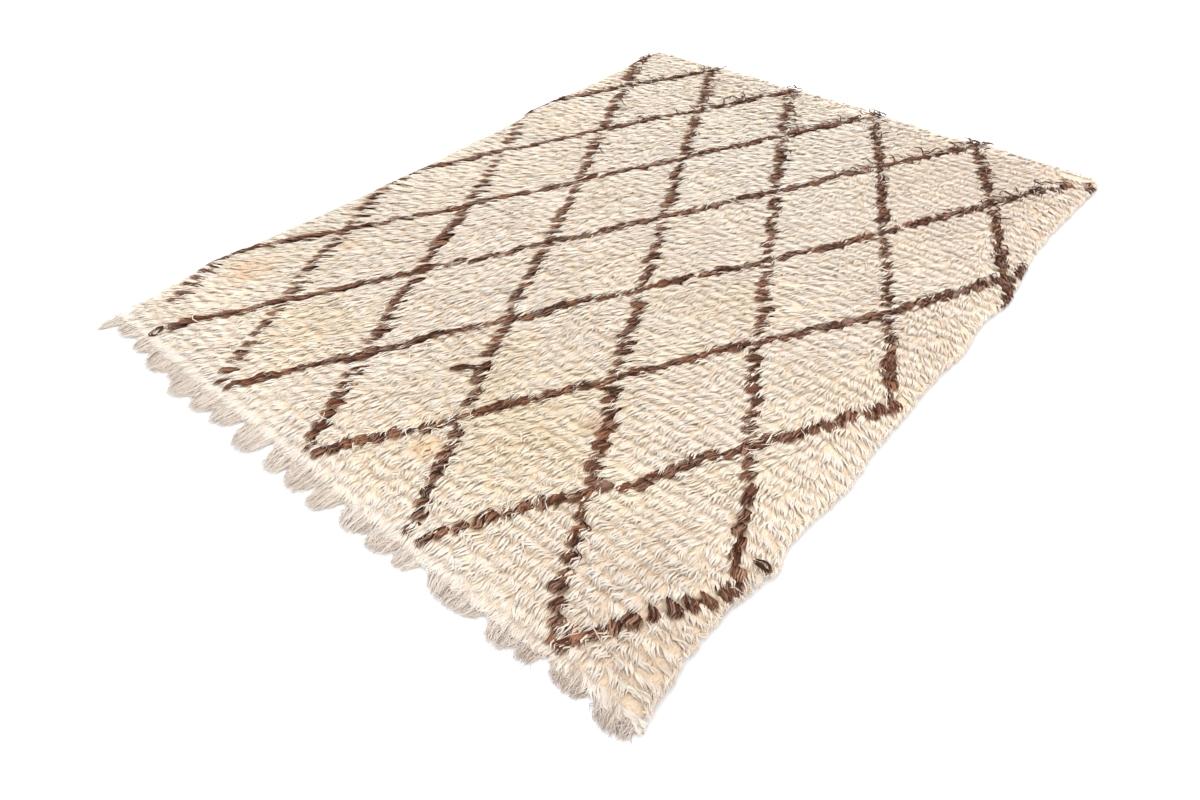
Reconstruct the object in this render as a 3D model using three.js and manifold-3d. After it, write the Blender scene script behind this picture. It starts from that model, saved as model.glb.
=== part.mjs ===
// A long-pile knotted wool rug lying flat on the floor: a lumpy slab of shag with locks all round its
// rim, and a fringe of longer locks at one end. Millimetres, +Z up, the rug's length along Y.
import * as THREE from 'three';
import Module from 'manifold-3d';
import { mergeVertices } from 'three/addons/utils/BufferGeometryUtils.js';

// Driving dimensions
const HALF_WIDTH = 1000; // of the cloth, before its edges waver
const PILE_TOP = 26; // the flattened pile's height over the floor
const RIM_HEIGHT = 9; // its height at the slab's own wall
const SHOULDER = 60; // how far in from the wall the pile is at its full height
const RIM_STEP = 18; // the first row of points inside the wall
const GRID_PITCH = 60; // between the points of the pile's surface
const LUMP_SCATTER = 4; // most that one point stands above or below its place
const RIM_LOCK_PITCH = 33; // between locks along a long side, one for each row of knots
const END_LOCK_PITCH = 44; // between locks along the far end
const RIM_LOCK = { root: 20, reach: 16, half: 13, tipHalf: 3, height: 17, tipHeight: 2.5, sweep: 14 };
const LOCK_SCATTER = { reach: 0.3, sweep: 0.5, height: 0.12, place: 0.25 }; // as shares of each size
const STRIP_GAP = 0.3; // between the cloth's end wall and the fringe's strip
const STRIP_DEPTH = 8;
const STRIP_HEIGHT = 6.5;
const STRAND_PITCH = 22; // between the fringe's strands at their roots
const STRAND = { half: 7, tipHalf: 2.4, height: 7.5, tipHeight: 2.5, curl: 3.5 };
const BEND = 0.6; // where along a strand it bends, and how wide it is there beside its root
const BEND_WIDTH = 0.9;
const LOBE_GATHER = 0.82; // how much narrower a lobe of strands is at its tips
const LOBE_ROUNDING = 0.3; // how much shorter its outer strands are
const STRAND_SCATTER = 0.04; // of a strand's reach
const SWEEP_POWER = 1.5; // how late along a strand it turns to its tip's side

// The two long sides, locks included, at places along the rug
const SIDES = [
  { along: -1262, left: -1022, right: 1004 },
  { along: -1180, left: -1008, right: 990 },
  { along: -1060, left: -1020, right: 975 },
  { along: -950, left: -1040, right: 971 },
  { along: -870, left: -1033, right: 986 },
  { along: -800, left: -1020, right: 999 },
  { along: -725, left: -1015, right: 980 },
  { along: -500, left: -1000, right: 997 },
  { along: -350, left: -992, right: 988 },
  { along: -50, left: -981, right: 985 },
  { along: 100, left: -989, right: 995 },
  { along: 250, left: -981, right: 982 },
  { along: 400, left: -984, right: 998 },
  { along: 475, left: -1008, right: 989 },
  { along: 560, left: -1003, right: 978 },
  { along: 700, left: -992, right: 962 },
  { along: 850, left: -985, right: 962 },
  { along: 1000, left: -982, right: 968 },
  { along: 1150, left: -990, right: 974 },
  { along: 1310, left: -994, right: 972 },
];

// The two ends at places across the rug: the cloth's end by the fringe, and the far end with its locks
const ENDS = [
  { across: -1040, near: -1262, far: 1284 },
  { across: -900, near: -1262, far: 1300 },
  { across: -750, near: -1265, far: 1288 },
  { across: -600, near: -1266, far: 1306 },
  { across: -450, near: -1264, far: 1305 },
  { across: -300, near: -1262, far: 1297 },
  { across: -150, near: -1262, far: 1300 },
  { across: 0, near: -1263, far: 1296 },
  { across: 200, near: -1262, far: 1278 },
  { across: 420, near: -1260, far: 1258 },
  { across: 600, near: -1254, far: 1272 },
  { across: 760, near: -1245, far: 1262 },
  { across: 900, near: -1247, far: 1258 },
  { across: 1010, near: -1246, far: 1240 },
];

// The fringe's lobes from left to right: where each starts and ends, how far its longest strand reaches
// past the cloth's end, and how far its tips are swept sideways
const LOBES = [
  { from: -1004, to: -968, reach: 78, sweep: -20 },
  { from: -966, to: -866, reach: 52, sweep: -6 },
  { from: -862, to: -776, reach: 58, sweep: 4 },
  { from: -772, to: -652, reach: 70, sweep: 6 },
  { from: -646, to: -608, reach: 56, sweep: 8 },
  { from: -602, to: -502, reach: 82, sweep: 0 },
  { from: -498, to: -404, reach: 73, sweep: -4 },
  { from: -398, to: -310, reach: 71, sweep: -6 },
  { from: -292, to: -186, reach: 82, sweep: 5 },
  { from: -158, to: -76, reach: 71, sweep: 10 },
  { from: -70, to: 28, reach: 65, sweep: 4 },
  { from: 34, to: 118, reach: 72, sweep: 0 },
  { from: 138, to: 232, reach: 59, sweep: 10 },
  { from: 238, to: 326, reach: 56, sweep: 2 },
  { from: 332, to: 402, reach: 50, sweep: -2 },
  { from: 424, to: 594, reach: 47, sweep: 8 },
  { from: 610, to: 694, reach: 52, sweep: 12 },
  { from: 702, to: 748, reach: 50, sweep: 4 },
  { from: 770, to: 872, reach: 38, sweep: 10 },
  { from: 884, to: 982, reach: 44, sweep: 14 },
];

// Slow waves that lift and drop the pile: wavelengths along and across, phase and height
const WAVES = [
  { along: 410, across: 900, phase: 0.6, height: 1.8 },
  { along: 730, across: -380, phase: 2.1, height: 1.6 },
  { along: -250, across: 310, phase: 4.0, height: 1.1 },
];

// Soft troughs pressed into the pile, each a straight run with its half width and depth
const CREASES = [
  { from: [-960, 18], to: [-400, 15], half: 40, depth: 8 },
  { from: [380, -760], to: [900, -806], half: 40, depth: 7 },
  { from: [880, -880], to: [985, -930], half: 36, depth: 6 },
];

const mix = THREE.MathUtils.lerp;
const clamp = THREE.MathUtils.clamp;

// An even, repeatable scatter from -1 to 1
function scatter(number, kind) {
  const big = Math.sin(number * 12.9898 + kind * 78.233) * 43758.5453;
  return 2 * (big - Math.floor(big)) - 1;
}

// The value of one column of a table at a place between two of its rows, eased from row to row
function read(table, key, column, place) {
  const last = table.length - 1;
  if (place <= table[0][key]) return table[0][column];
  if (place >= table[last][key]) return table[last][column];
  const next = table.findIndex((row) => row[key] > place);
  const [a, b] = [table[next - 1], table[next]];
  const share = THREE.MathUtils.smoothstep(place, a[key], b[key]);
  return mix(a[column], b[column], share);
}

// The slab's own wall, which lies inside the outline by the reach of its locks
const wallLeft = (along) => read(SIDES, 'along', 'left', along) + RIM_LOCK.reach;
const wallRight = (along) => read(SIDES, 'along', 'right', along) - RIM_LOCK.reach;
const wallNear = (across) => read(ENDS, 'across', 'near', across);
const wallFar = (across) => read(ENDS, 'across', 'far', across) - RIM_LOCK.reach;

// Where a share of the way across and along the rug lies on the floor
function placeOf(shareAcross, shareAlong) {
  const nominal = mix(-HALF_WIDTH, HALF_WIDTH, shareAcross);
  const along = mix(wallNear(nominal), wallFar(nominal), shareAlong);
  const across = mix(wallLeft(along), wallRight(along), shareAcross);
  return new THREE.Vector2(across, mix(wallNear(across), wallFar(across), shareAlong));
}

// Shares of a length with two close rows at each end and even rows between
function stations(length) {
  const inner = Math.round((length - 2 * SHOULDER) / GRID_PITCH);
  const rows = [0, RIM_STEP / length];
  for (let i = 0; i <= inner; i++) rows.push(mix(SHOULDER / length, 1 - SHOULDER / length, i / inner));
  rows.push(1 - RIM_STEP / length, 1);
  return rows;
}

function creaseDepth(place) {
  let depth = 0;
  for (const crease of CREASES) {
    const from = new THREE.Vector3(...crease.from, 0);
    const to = new THREE.Vector3(...crease.to, 0);
    const point = new THREE.Vector3(place.x, place.y, 0);
    const nearest = new THREE.Line3(from, to).closestPointToPoint(point, true, new THREE.Vector3());
    depth += crease.depth * Math.exp(-((nearest.distanceTo(point) / crease.half) ** 2));
  }
  return depth;
}

function pileHeight(place, number) {
  const inward = Math.min(
    place.x - wallLeft(place.y),
    wallRight(place.y) - place.x,
    place.y - wallNear(place.x),
    wallFar(place.x) - place.y,
  );
  const rise = Math.sin(clamp(inward / SHOULDER, 0, 1) * Math.PI / 2);
  let lump = LUMP_SCATTER * scatter(number, 1) - creaseDepth(place);
  for (const wave of WAVES) {
    const turn = 2 * Math.PI * (place.y / wave.along + place.x / wave.across);
    lump += wave.height * Math.sin(turn + wave.phase);
  }
  return mix(RIM_HEIGHT, PILE_TOP + lump, rise);
}

function closedGeometry(points, faces) {
  const geometry = new THREE.BufferGeometry();
  geometry.setAttribute('position', new THREE.Float32BufferAttribute(points.flat(), 3));
  geometry.setIndex(faces.flat());
  return geometry;
}

// The points of a grid's rim in order, from its first corner along the first row and all the way round
function rimOrder(columns, rows) {
  const rim = [];
  for (let column = 0; column < columns; column++) rim.push(column);
  for (let row = 1; row < rows; row++) rim.push(row * columns + columns - 1);
  for (let column = columns - 2; column >= 0; column--) rim.push((rows - 1) * columns + column);
  for (let row = rows - 2; row > 0; row--) rim.push(row * columns);
  return rim;
}

// The pile's surface, its rim wall and its flat underside
function slabGeometry() {
  const across = stations(wallRight(0) - wallLeft(0));
  const along = stations(wallFar(0) - wallNear(0));
  const columns = across.length;
  const points = [];
  along.forEach((v) => across.forEach((u) => {
    const place = placeOf(u, v);
    points.push([place.x, place.y, pileHeight(place, points.length)]);
  }));
  const faces = [];
  for (let row = 0; row + 1 < along.length; row++) {
    for (let column = 0; column + 1 < columns; column++) {
      const corner = row * columns + column;
      const above = corner + columns;
      faces.push([corner, corner + 1, above + 1], [corner, above + 1, above]);
    }
  }
  const rim = rimOrder(columns, along.length);
  const foot = points.length;
  rim.forEach((top) => points.push([points[top][0], points[top][1], 0]));
  rim.forEach((top, i) => {
    const j = (i + 1) % rim.length;
    faces.push([top, foot + i, foot + j], [top, foot + j, rim[j]]);
  });
  const outline = rim.map((top) => new THREE.Vector2(points[top][0], points[top][1]));
  for (const [a, b, c] of THREE.ShapeUtils.triangulateShape(outline, [])) {
    faces.push([foot + a, foot + c, foot + b]);
  }
  return closedGeometry(points, faces);
}

// A lock or strand that lies on the floor: a three-sided ridge through its stations, level underneath
function ridgeGeometry(path) {
  const points = [];
  path.forEach((station, i) => {
    const before = path[Math.max(i - 1, 0)].at;
    const after = path[Math.min(i + 1, path.length - 1)].at;
    const side = after.clone().sub(before).normalize().rotateAround(new THREE.Vector2(), Math.PI / 2);
    const left = station.at.clone().addScaledVector(side, station.half);
    const right = station.at.clone().addScaledVector(side, -station.half);
    points.push([left.x, left.y, 0], [right.x, right.y, 0], [station.at.x, station.at.y, station.height]);
  });
  const faces = [[0, 1, 2]];
  for (let i = 0; i + 1 < path.length; i++) {
    for (const [a, b] of [[0, 1], [1, 2], [2, 0]]) {
      const [p, q] = [3 * i + a, 3 * i + b];
      faces.push([p, q + 3, q], [p, p + 3, q + 3]);
    }
  }
  const end = 3 * (path.length - 1);
  faces.push([end, end + 2, end + 1]);
  return closedGeometry(points, faces);
}

// A lock of rim pile: from inside the slab over its wall to the outline, swept the way it is brushed
function rimLock(wall, outward, brushed, number) {
  const sweep = RIM_LOCK.sweep * (1 + LOCK_SCATTER.sweep * scatter(number, 2));
  const reach = RIM_LOCK.reach * (1 - LOCK_SCATTER.reach * (1 - scatter(number, 3)));
  const height = RIM_LOCK.height * (1 + LOCK_SCATTER.height * scatter(number, 4));
  const at = (out, aside) => wall.clone().addScaledVector(outward, out).addScaledVector(brushed, aside);
  return ridgeGeometry([
    { at: at(-RIM_LOCK.root, -sweep), half: RIM_LOCK.half, height },
    { at: at(reach, sweep), half: RIM_LOCK.tipHalf, height: RIM_LOCK.tipHeight },
  ]);
}

function rimLocks() {
  const locks = [];
  const [toLeft, toRight] = [new THREE.Vector2(-1, 0), new THREE.Vector2(1, 0)];
  const [toFar, toFringe] = [new THREE.Vector2(0, 1), new THREE.Vector2(0, -1)];
  const [first, last] = [wallNear(0) + SHOULDER, wallFar(0) - SHOULDER];
  for (let i = 0; i <= (last - first) / RIM_LOCK_PITCH; i++) {
    const along = first + (i + LOCK_SCATTER.place * scatter(i, 5)) * RIM_LOCK_PITCH;
    locks.push(rimLock(new THREE.Vector2(wallLeft(along), along), toLeft, toFringe, locks.length));
    locks.push(rimLock(new THREE.Vector2(wallRight(along), along), toRight, toFringe, locks.length));
  }
  const [start, stop] = [wallLeft(last) + SHOULDER / 2, wallRight(last) - SHOULDER / 2];
  for (let i = 0; i <= (stop - start) / END_LOCK_PITCH; i++) {
    const across = start + (i + LOCK_SCATTER.place * scatter(i, 6)) * END_LOCK_PITCH;
    locks.push(rimLock(new THREE.Vector2(across, wallFar(across)), toFar, toLeft, locks.length));
  }
  return locks;
}

// The strip that the strands grow from, along the cloth's own end wall and a little apart from it
function stripGeometry() {
  const points = [];
  const shares = stations(wallRight(0) - wallLeft(0));
  for (const share of shares) {
    const { x, y } = placeOf(share, 0);
    const back = y - STRIP_GAP;
    const front = back - STRIP_DEPTH;
    points.push([x, front, 0], [x, back, 0], [x, back, STRIP_HEIGHT], [x, front, STRIP_HEIGHT]);
  }
  const faces = [[0, 2, 1], [0, 3, 2]];
  for (let i = 0; i + 1 < shares.length; i++) {
    for (const [a, b] of [[0, 1], [1, 2], [2, 3], [3, 0]]) {
      const [p, q] = [4 * i + a, 4 * i + b];
      faces.push([p, q, q + 4], [p, q + 4, p + 4]);
    }
  }
  const end = 4 * (shares.length - 1);
  faces.push([end, end + 1, end + 2], [end, end + 2, end + 3]);
  return closedGeometry(points, faces);
}

// One strand of a lobe, a share of the way across it: level on the floor, curling a little to one side
function fringeStrand(lobe, share, number) {
  const root = mix(lobe.from, lobe.to, share);
  const tip = mix((lobe.from + lobe.to) / 2, root, LOBE_GATHER) + lobe.sweep;
  const rounding = 1 - LOBE_ROUNDING * (2 * share - 1) ** 2;
  const start = wallNear(root) - STRIP_GAP - STRIP_DEPTH / 2;
  const end = wallNear(root) - lobe.reach * rounding * (1 + STRAND_SCATTER * scatter(number, 7));
  const curl = STRAND.curl * scatter(number, 8);
  const across = (way) => mix(root, tip, way ** SWEEP_POWER);
  const at = (way, aside) => new THREE.Vector2(across(way) + aside, mix(start, end, way));
  return ridgeGeometry([
    { at: at(0, 0), half: STRAND.half, height: STRAND.height },
    { at: at(BEND, curl), half: BEND_WIDTH * STRAND.half, height: STRAND.height },
    { at: at(1, 0), half: STRAND.tipHalf, height: STRAND.tipHeight },
  ]);
}

function fringeStrands() {
  const strands = [];
  for (const lobe of LOBES) {
    const count = Math.max(2, Math.round((lobe.to - lobe.from) / STRAND_PITCH));
    for (let i = 0; i < count; i++) strands.push(fringeStrand(lobe, (i + 0.5) / count, strands.length));
  }
  return strands;
}

const wasm = await Module();
wasm.setup();

function solidOf(geometry) {
  const merged = mergeVertices(geometry);
  const vertProperties = new Float32Array(merged.attributes.position.array);
  const triVerts = new Uint32Array(merged.index.array);
  return new wasm.Manifold(new wasm.Mesh({ numProp: 3, vertProperties, triVerts }));
}

function joined(pieces) {
  const mesh = wasm.Manifold.union(pieces.map(solidOf)).getMesh();
  const geometry = new THREE.BufferGeometry();
  geometry.setAttribute('position', new THREE.BufferAttribute(mesh.vertProperties, 3));
  geometry.setIndex(new THREE.BufferAttribute(mesh.triVerts, 1));
  return geometry;
}

function pileBody() {
  const material = new THREE.MeshStandardMaterial({ color: 0xe9dfc8, roughness: 0.95, metalness: 0 });
  const mesh = new THREE.Mesh(joined([slabGeometry(), ...rimLocks()]), material);
  mesh.name = 'rug_pile_body';
  return mesh;
}

function endFringe() {
  const material = new THREE.MeshStandardMaterial({ color: 0xe6ddd2, roughness: 0.9, metalness: 0 });
  const mesh = new THREE.Mesh(joined([stripGeometry(), ...fringeStrands()]), material);
  mesh.name = 'rug_end_fringe';
  return mesh;
}

const rug = new THREE.Group();
rug.add(pileBody(), endFringe());

// The origin is on the floor, in the middle of the rug's whole footprint
const footprint = new THREE.Box3().setFromObject(rug).getCenter(new THREE.Vector3());
rug.position.set(-footprint.x, -footprint.y, 0);

export default rug;
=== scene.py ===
"""A long-pile knotted wool rug, ivory with a brown diamond lattice and one fringed end, lying flat."""

import math

import bmesh
import bpy
import numpy as np
from mathutils import Matrix, Vector
from mathutils.kdtree import KDTree


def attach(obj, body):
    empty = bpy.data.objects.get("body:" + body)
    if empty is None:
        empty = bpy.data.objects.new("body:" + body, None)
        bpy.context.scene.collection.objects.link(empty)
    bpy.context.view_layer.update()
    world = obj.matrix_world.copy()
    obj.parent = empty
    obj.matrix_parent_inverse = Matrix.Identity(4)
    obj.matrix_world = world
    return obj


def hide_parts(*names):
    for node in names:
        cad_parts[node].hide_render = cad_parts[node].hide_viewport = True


# Shares that are drawn at random are given by the least and the most, as in LOCK_GIRTHS or RIM_LENGTHS
MM = 0.001
SEED = 4127

# Camera, as the photograph was taken: place, heading from +Y towards -X, angle down and roll
CAMERA_PLACE = (1.4614, -1.7495, 1.4620)
CAMERA_HEADING = math.radians(43.69)
CAMERA_DOWN = math.radians(42.93)
CAMERA_ROLL = math.radians(-3.27)
LENS_MM = 24.93
SENSOR_MM = 36.0

# The frame's origin is in the middle of the whole footprint, this far from the point that the outline's
# and the lattice's own places are counted from
FOOTPRINT_SHIFT = (20.8 * MM, 20.8 * MM)

# The long sides at places along the rug: where it is, the left edge and the right edge, in millimetres
SIDES = np.array([
    (-1262, -1022, 1004),
    (-1180, -1008, 990),
    (-1060, -1020, 975),
    (-950, -1040, 971),
    (-870, -1033, 986),
    (-800, -1020, 999),
    (-725, -1015, 980),
    (-500, -1000, 997),
    (-350, -992, 988),
    (-50, -981, 985),
    (100, -989, 995),
    (250, -981, 982),
    (400, -984, 998),
    (475, -1008, 989),
    (560, -1003, 978),
    (700, -992, 962),
    (850, -985, 962),
    (1000, -982, 968),
    (1150, -990, 974),
    (1310, -994, 972),
]) * MM

# The ends at places across the rug: where it is, the cloth's end by the fringe and the far end
ENDS = np.array([
    (-1040, -1262, 1284),
    (-900, -1262, 1300),
    (-750, -1265, 1288),
    (-600, -1266, 1306),
    (-450, -1264, 1305),
    (-300, -1262, 1297),
    (-150, -1262, 1300),
    (0, -1263, 1296),
    (200, -1262, 1278),
    (420, -1260, 1258),
    (600, -1254, 1272),
    (760, -1245, 1262),
    (900, -1247, 1258),
    (1010, -1246, 1240),
]) * MM
LOCK_REACH = 16 * MM  # from the cloth's own edge to the outline of its locks

# The fringe's lobes: where each starts and ends across, its reach past the cloth and its sweep sideways
LOBES = np.array([
    (-1004, -968, 84, -22),
    (-966, -866, 52, -6),
    (-862, -776, 58, 4),
    (-772, -652, 70, 6),
    (-646, -608, 56, 8),
    (-602, -502, 87, 0),
    (-498, -404, 78, -4),
    (-398, -310, 71, -6),
    (-292, -186, 82, 5),
    (-158, -76, 71, 10),
    (-70, 28, 70, 4),
    (34, 118, 72, 0),
    (138, 232, 59, 10),
    (238, 326, 56, 2),
    (332, 402, 50, -2),
    (424, 594, 47, 8),
    (610, 694, 52, 12),
    (702, 748, 50, 4),
    (770, 872, 38, 10),
    (884, 982, 44, 14),
]) * MM

# The pile: its height in the middle and at the rim, and how far in from the rim it reaches its full height
PILE_TOP = 27 * MM
RIM_HEIGHT = 24 * MM
SHOULDER = 30 * MM
RIM_FALL, RIM_FALL_RIGHT = 0.50, 0.85  # share of the rim's height that is lost where the locks end
FRINGE_TOP = 9 * MM  # height that the pile has fallen to where the fringe begins
FRINGE_SHOULDER = 90 * MM  # how far in from the fringe the pile reaches its full height
OVER_THE_EDGE = 25 * MM  # how far past the cloth's edge the rim's height falls
RIM_FALL_CURVE = 1.5  # how this fall grows outwards

# How far locks may lie past each edge of the cloth. Over the right half of the fringe it is less, eased in
# from the middle over a distance
SLACK_NEAR, SLACK_FAR, SLACK_LEFT, SLACK_RIGHT = 46 * MM, 36 * MM, 34 * MM, 22 * MM
SLACK_NEAR_RIGHT, SLACK_EASED_OVER = 21 * MM, 250 * MM

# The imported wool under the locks, and the woven cloth: heights, and faces across and along
BED_SHARE = 0.86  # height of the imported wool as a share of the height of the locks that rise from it
BED_LOW, BED_LEAST = 3.4 * MM, 4 * MM  # its underside, and the least height of its top
CLOTH_LOW, CLOTH_TOP = 0.3 * MM, 3.0 * MM
BED_STEPS, CLOTH_STEPS = (110, 200), (50, 64)
WEAVE_PITCH = 5 * MM

# Soft unevenness: how much there is, how wide its features are, and its seed past the rug's own
PILE_LUMPS = (2.5 * MM, 0.07, 1)
TURN_WANDERS = ((12, 0.16, 2), (6, 0.06, 3))  # in degrees
ROW_WANDER = (7 * MM, 0.13, 4)
LINE_WAVER = (5 * MM, 0.10, 6)
BED_LUMPS = (1.5 * MM, 0.016, 9)
NOISE_CELLS = 64  # corners along each side of the noise's grid, past which it repeats

# Knots: rows from the fringed end to the far end, and knots along a row
FIRST_ROW = 36 * MM
ROW_PITCH = 33 * MM
KNOT_PITCH = 12 * MM
ROW_INSET_LEFT, ROW_INSET_RIGHT = 3 * MM, 2 * MM  # from the cloth's edges to a row's ends
KNOT_INSET = 1 * MM  # the least that a knot is inside the cloth's edge
KNOT_OFF_ACROSS, KNOT_OFF_ALONG = 1.5, 3  # most that a knot is off its place, in millimetres
TUFT_SIZES = (1, 2, 3)  # how many knots are brushed together into an ivory tuft, each with its chance
TUFT_CHANCES = (0.35, 0.50, 0.15)
BROWN_TUFT = 3  # most knots in a brown tuft

# Locks, each a closed three-sided strand of wool, a few for each knot: outer ones over inner ones.
# Stations along a lock: share of its length, height in the pile, width of its tuft, how far the light
# sees the tuft lean ahead there, and girth
OUTER_LOCK = np.array([
    (0.00, 0.00, 0.80, -0.30, 0.8),
    (0.32, 0.42, 1.10, -0.20, 1.0),
    (0.70, 0.84, 1.00, -0.05, 0.8),
    (1.00, 1.00, 0.60, 0.40, 0.0),
])
INNER_LOCK = np.array([
    (0.00, 0.00, 0.95, -0.20, 0.9),
    (0.50, 0.56, 1.10, -0.10, 1.0),
    (1.00, 0.86, 0.80, 0.30, 0.0),
])
GRID_PITCH, GRID_MARGIN = 3 * MM, 150 * MM  # squares that the height of the topmost locks is kept for
# Locks lying below the topmost ones are painted a darker, warmer shade, as painted shade
BURIED_FROM, BURIED_OVER = 1 * MM, 7 * MM  # how far below them a lock begins to be in deep shade, and is
LOCK_FOOT = 0.46  # height of a lock's root as a share of the pile's
INNER_SUNK = 0.07  # how far the inner locks lie below the outer ones, as a share of the pile's height
OUTER_PER_KNOT, INNER_PER_KNOT = 2, 3
BROWN_OUTER_PER_KNOT, BROWN_INNER_PER_KNOT = 4, 2
LOCK_LENGTH = 53 * MM
FIRST_LOCK_LENGTH = 60 * MM  # in the row that falls over the fringe
LOCK_RADIUS = 1.8 * MM
TUFT_ROUND = 0.35  # how far the light sees a tuft's sides turn away
TUFT_CROWN = 0.15  # how much lower a tuft is at its sides than along its middle
# How far the light sees a lock's own roundness smoothed into its tuft's, and how much less it does on the
# undersides past the cloth's edge
SOFTNESS, UNDER_SOFTNESS = 0.85, 0.3
FLATNESS = 1.5  # how much wider and thinner than round a lock is
SINGLE_SOFTNESS, SINGLE_FLATNESS = 0.5, 1.2  # of single strands
TIP_FALL, TIP_ROUND = 0.45, 0.7  # how far the tips of even tufts bend down, and are seen to by the light
TIP_SPREAD = 0.5  # how much wider the tips of even tufts spread than those of uneven ones
LOCK_LOW = 1.5 * MM  # the least height of a lock's middle line
LOCK_ROLL = 0.3  # how far locks are rolled about their middle line, in radians
# Where locks are in the pattern of their fibres: how far they are spread, how far it is from one station to
# the next, and how far apart locks are kept
GRAIN_RANGE, GRAIN_STEP, GRAIN_APART = 50, 0.5, 3
NEARLY_NONE = 1e-6  # the least length that a vector is divided by

# What all locks of a tuft share, and how far tufts differ in it
TUFT_SPREAD = {
    "turn": math.radians(10),
    "start": 7 * MM,
    "bow": 0.08,
    "curl": 0.05,
    "lift": 0.05,
    "tone": 0.07,
    "tint": 0.22,
}
LESS_IN_BROWN = ("turn", "start")
LESS_WHERE_COMBED = ("turn", "bow", "curl", "lift")
START_EVENED = 0.8  # how much less even tufts differ in where they start

# How far the locks in a tuft differ: turn in degrees, start in millimetres, length, height, bow to a side,
# double curl, tone and tint, and how much less they do in start and length where tufts are even
LOCK_TURN, LOCK_START = 4, 10
LOCK_LONGER, LOCK_LIFT = 0.13, 0.04
LOCK_BOW, LOCK_CURL = 0.020, 0.024
LOCK_TONE, LOCK_TINT = 0.11, 0.18
START_EVENED_WITHIN, LENGTH_EVENED_WITHIN = 0.7, 0.6
LOCK_GIRTHS = (0.7, 1.2)
LOCK_SLACKS = (0.5, 1.2)  # how much of the slack past the cloth's edge a lock has

# A lock's length as a share of its tuft's: the middle, how much shorter it is at the tuft's sides and where
# it curls more, and how much longer in uneven tufts
LENGTH_SHARE, SIDES_SHORTER, WAVY_SHORTER, UNEVEN_LONGER = 0.97, 0.12, 0.20, 0.25
TUFT_GATHERED = 0.7  # how far the locks of a turned tuft draw level with one another at their tips

# Tone of the locks: the middle, and how much darker the inner ones and those at a tuft's sides are painted,
# as painted shade
TONE_MIDDLE, SUNK_PAINTED_DARKER, SIDES_PAINTED_DARKER = 0.54, 1.5, 0.10

# How evenly tufts end: the least and how much more, and how much of that there is by the fringe. It rises
# to the right from a place across, and towards the fringe from a place counted that way, over a distance
EVEN_LEAST, EVEN_MORE, EVEN_NEAR_SHARE = 0.1, 0.7, 0.8
EVEN_RIGHT, EVEN_NEAR = (-0.15, 0.75), (0.80, 0.35)

# How strongly locks curl: the least and how much more, rising in the same way
WAVY_LEAST, WAVY_MORE = 0.6, 0.8
WAVY_RIGHT, WAVY_NEAR = (-0.9, 0.8), (0.45, 0.6)

# Where the pile is combed flat: place, how far across and along, and by how much
COMBED = (-0.50, -0.10, 0.75, 0.85, 0.6)

# Loose single strands over the pile
STRAND_STATIONS = 6  # how many places each is drawn through, one more than it has girths
STRAY_LENGTH = 44 * MM
STRAY_SUNK, STRAY_LOW = 2.0 * MM, 2.0 * MM  # how deep their ends are in the pile, and their least height
STRAY_GIRTH = np.array([0.6, 1.0, 1.0, 0.9, 0.6])  # from root to tip
STRAY_GIRTHS = (0.7, 1.3)
STRAY_WAVES, STRAY_TURNS = (0.01, 0.09), 2.2  # how far they curl as shares of their length, and how often
STRAY_ARCH = 0.75  # how far their arch over the pile has come down at their tips
STRAY_BOW, STRAY_TONE = 0.12, 0.2  # how far they bow to a side as shares of their length, and differ in tone
IVORY_STRAYS, IVORY_STRAY_TONE = 700, 0.72
IVORY_STRAY_TURN, IVORY_STRAY_LIFT = 38, 3  # in degrees and millimetres
IVORY_STRAY_LENGTHS = (0.5, 1.5)
STRAY_RADIUS, BROWN_STRAY_RADIUS = 1.1 * MM, 1.9 * MM

# The brown ones, nearly all by the far end
BROWN_STRAYS_PER_TUFT = 2
BROWN_STRAY_LENGTHS, BROWN_STRAY_TONE = (0.5, 1.1), 0.24
# Each value, and how much more it is by the far end, from a place along the rug over a distance. Turns are
# in degrees and lifts in millimetres
UPRIGHT_FROM, UPRIGHT_OVER = 0.35, 0.60
BROWN_STRAY_CHANCE = (0.04, 0.80)
BROWN_STRAY_TURN = (30, 45)
BROWN_STRAY_LIFT = (1, 10.5)
BROWN_STRAY_BOW = (1, 1.5)
BROWN_STRAY_GIRTH = (0.7, 0.6)

# Brown locks laid across the pile: from, to, bow as a share of the length, and how many strands
LAID_LOCKS = (
    (-0.023, -0.811, 0.050, -0.752, 0.03, 9),
    (0.950, -0.815, 0.992, -0.822, 0.05, 10),
    (-0.848, -1.236, -0.822, -1.244, 0.70, 5),
    (-0.822, -1.244, -0.848, -1.236, 0.70, 4),
)
LAID_OFF, LAID_TURN, LAID_BOW = 3.5 * MM, 0.06, 0.02  # how far its strands differ in place, turn and bow
LAID_LENGTHS, LAID_LIFT, LAID_TONE = (0.85, 1.1), 2.5 * MM, 0.15

# The fringe's lobes: how far they reach under the pile, how round their ends are, and their thickness
LOBE_ROOT = 20 * MM
LOBE_ROUND, LOBE_ROUND_CURVE = 0.34, 3.5
LOBE_BELLY, LOBE_GATHER = 0.10, 0.20  # how much wider they are half-way, and how much narrower at the end
LOBE_SWEEP_CURVE = 1.5  # how their sweep to a side grows towards the end
LOBE_LOW, LOBE_THICK = 1.0 * MM, 3.4 * MM
LOBE_CROWN, LOBE_THINNER = 0.7, 0.5  # how much thinner they are at their sides and at the end
FRINGE_LOW = 0.5 * MM
FRINGE_BED_ACROSS, FRINGE_BED_ALONG = 0.85, 0.82  # how much of a lobe its packed wool fills
FRINGE_BED_STEPS = (8, 8)

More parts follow.
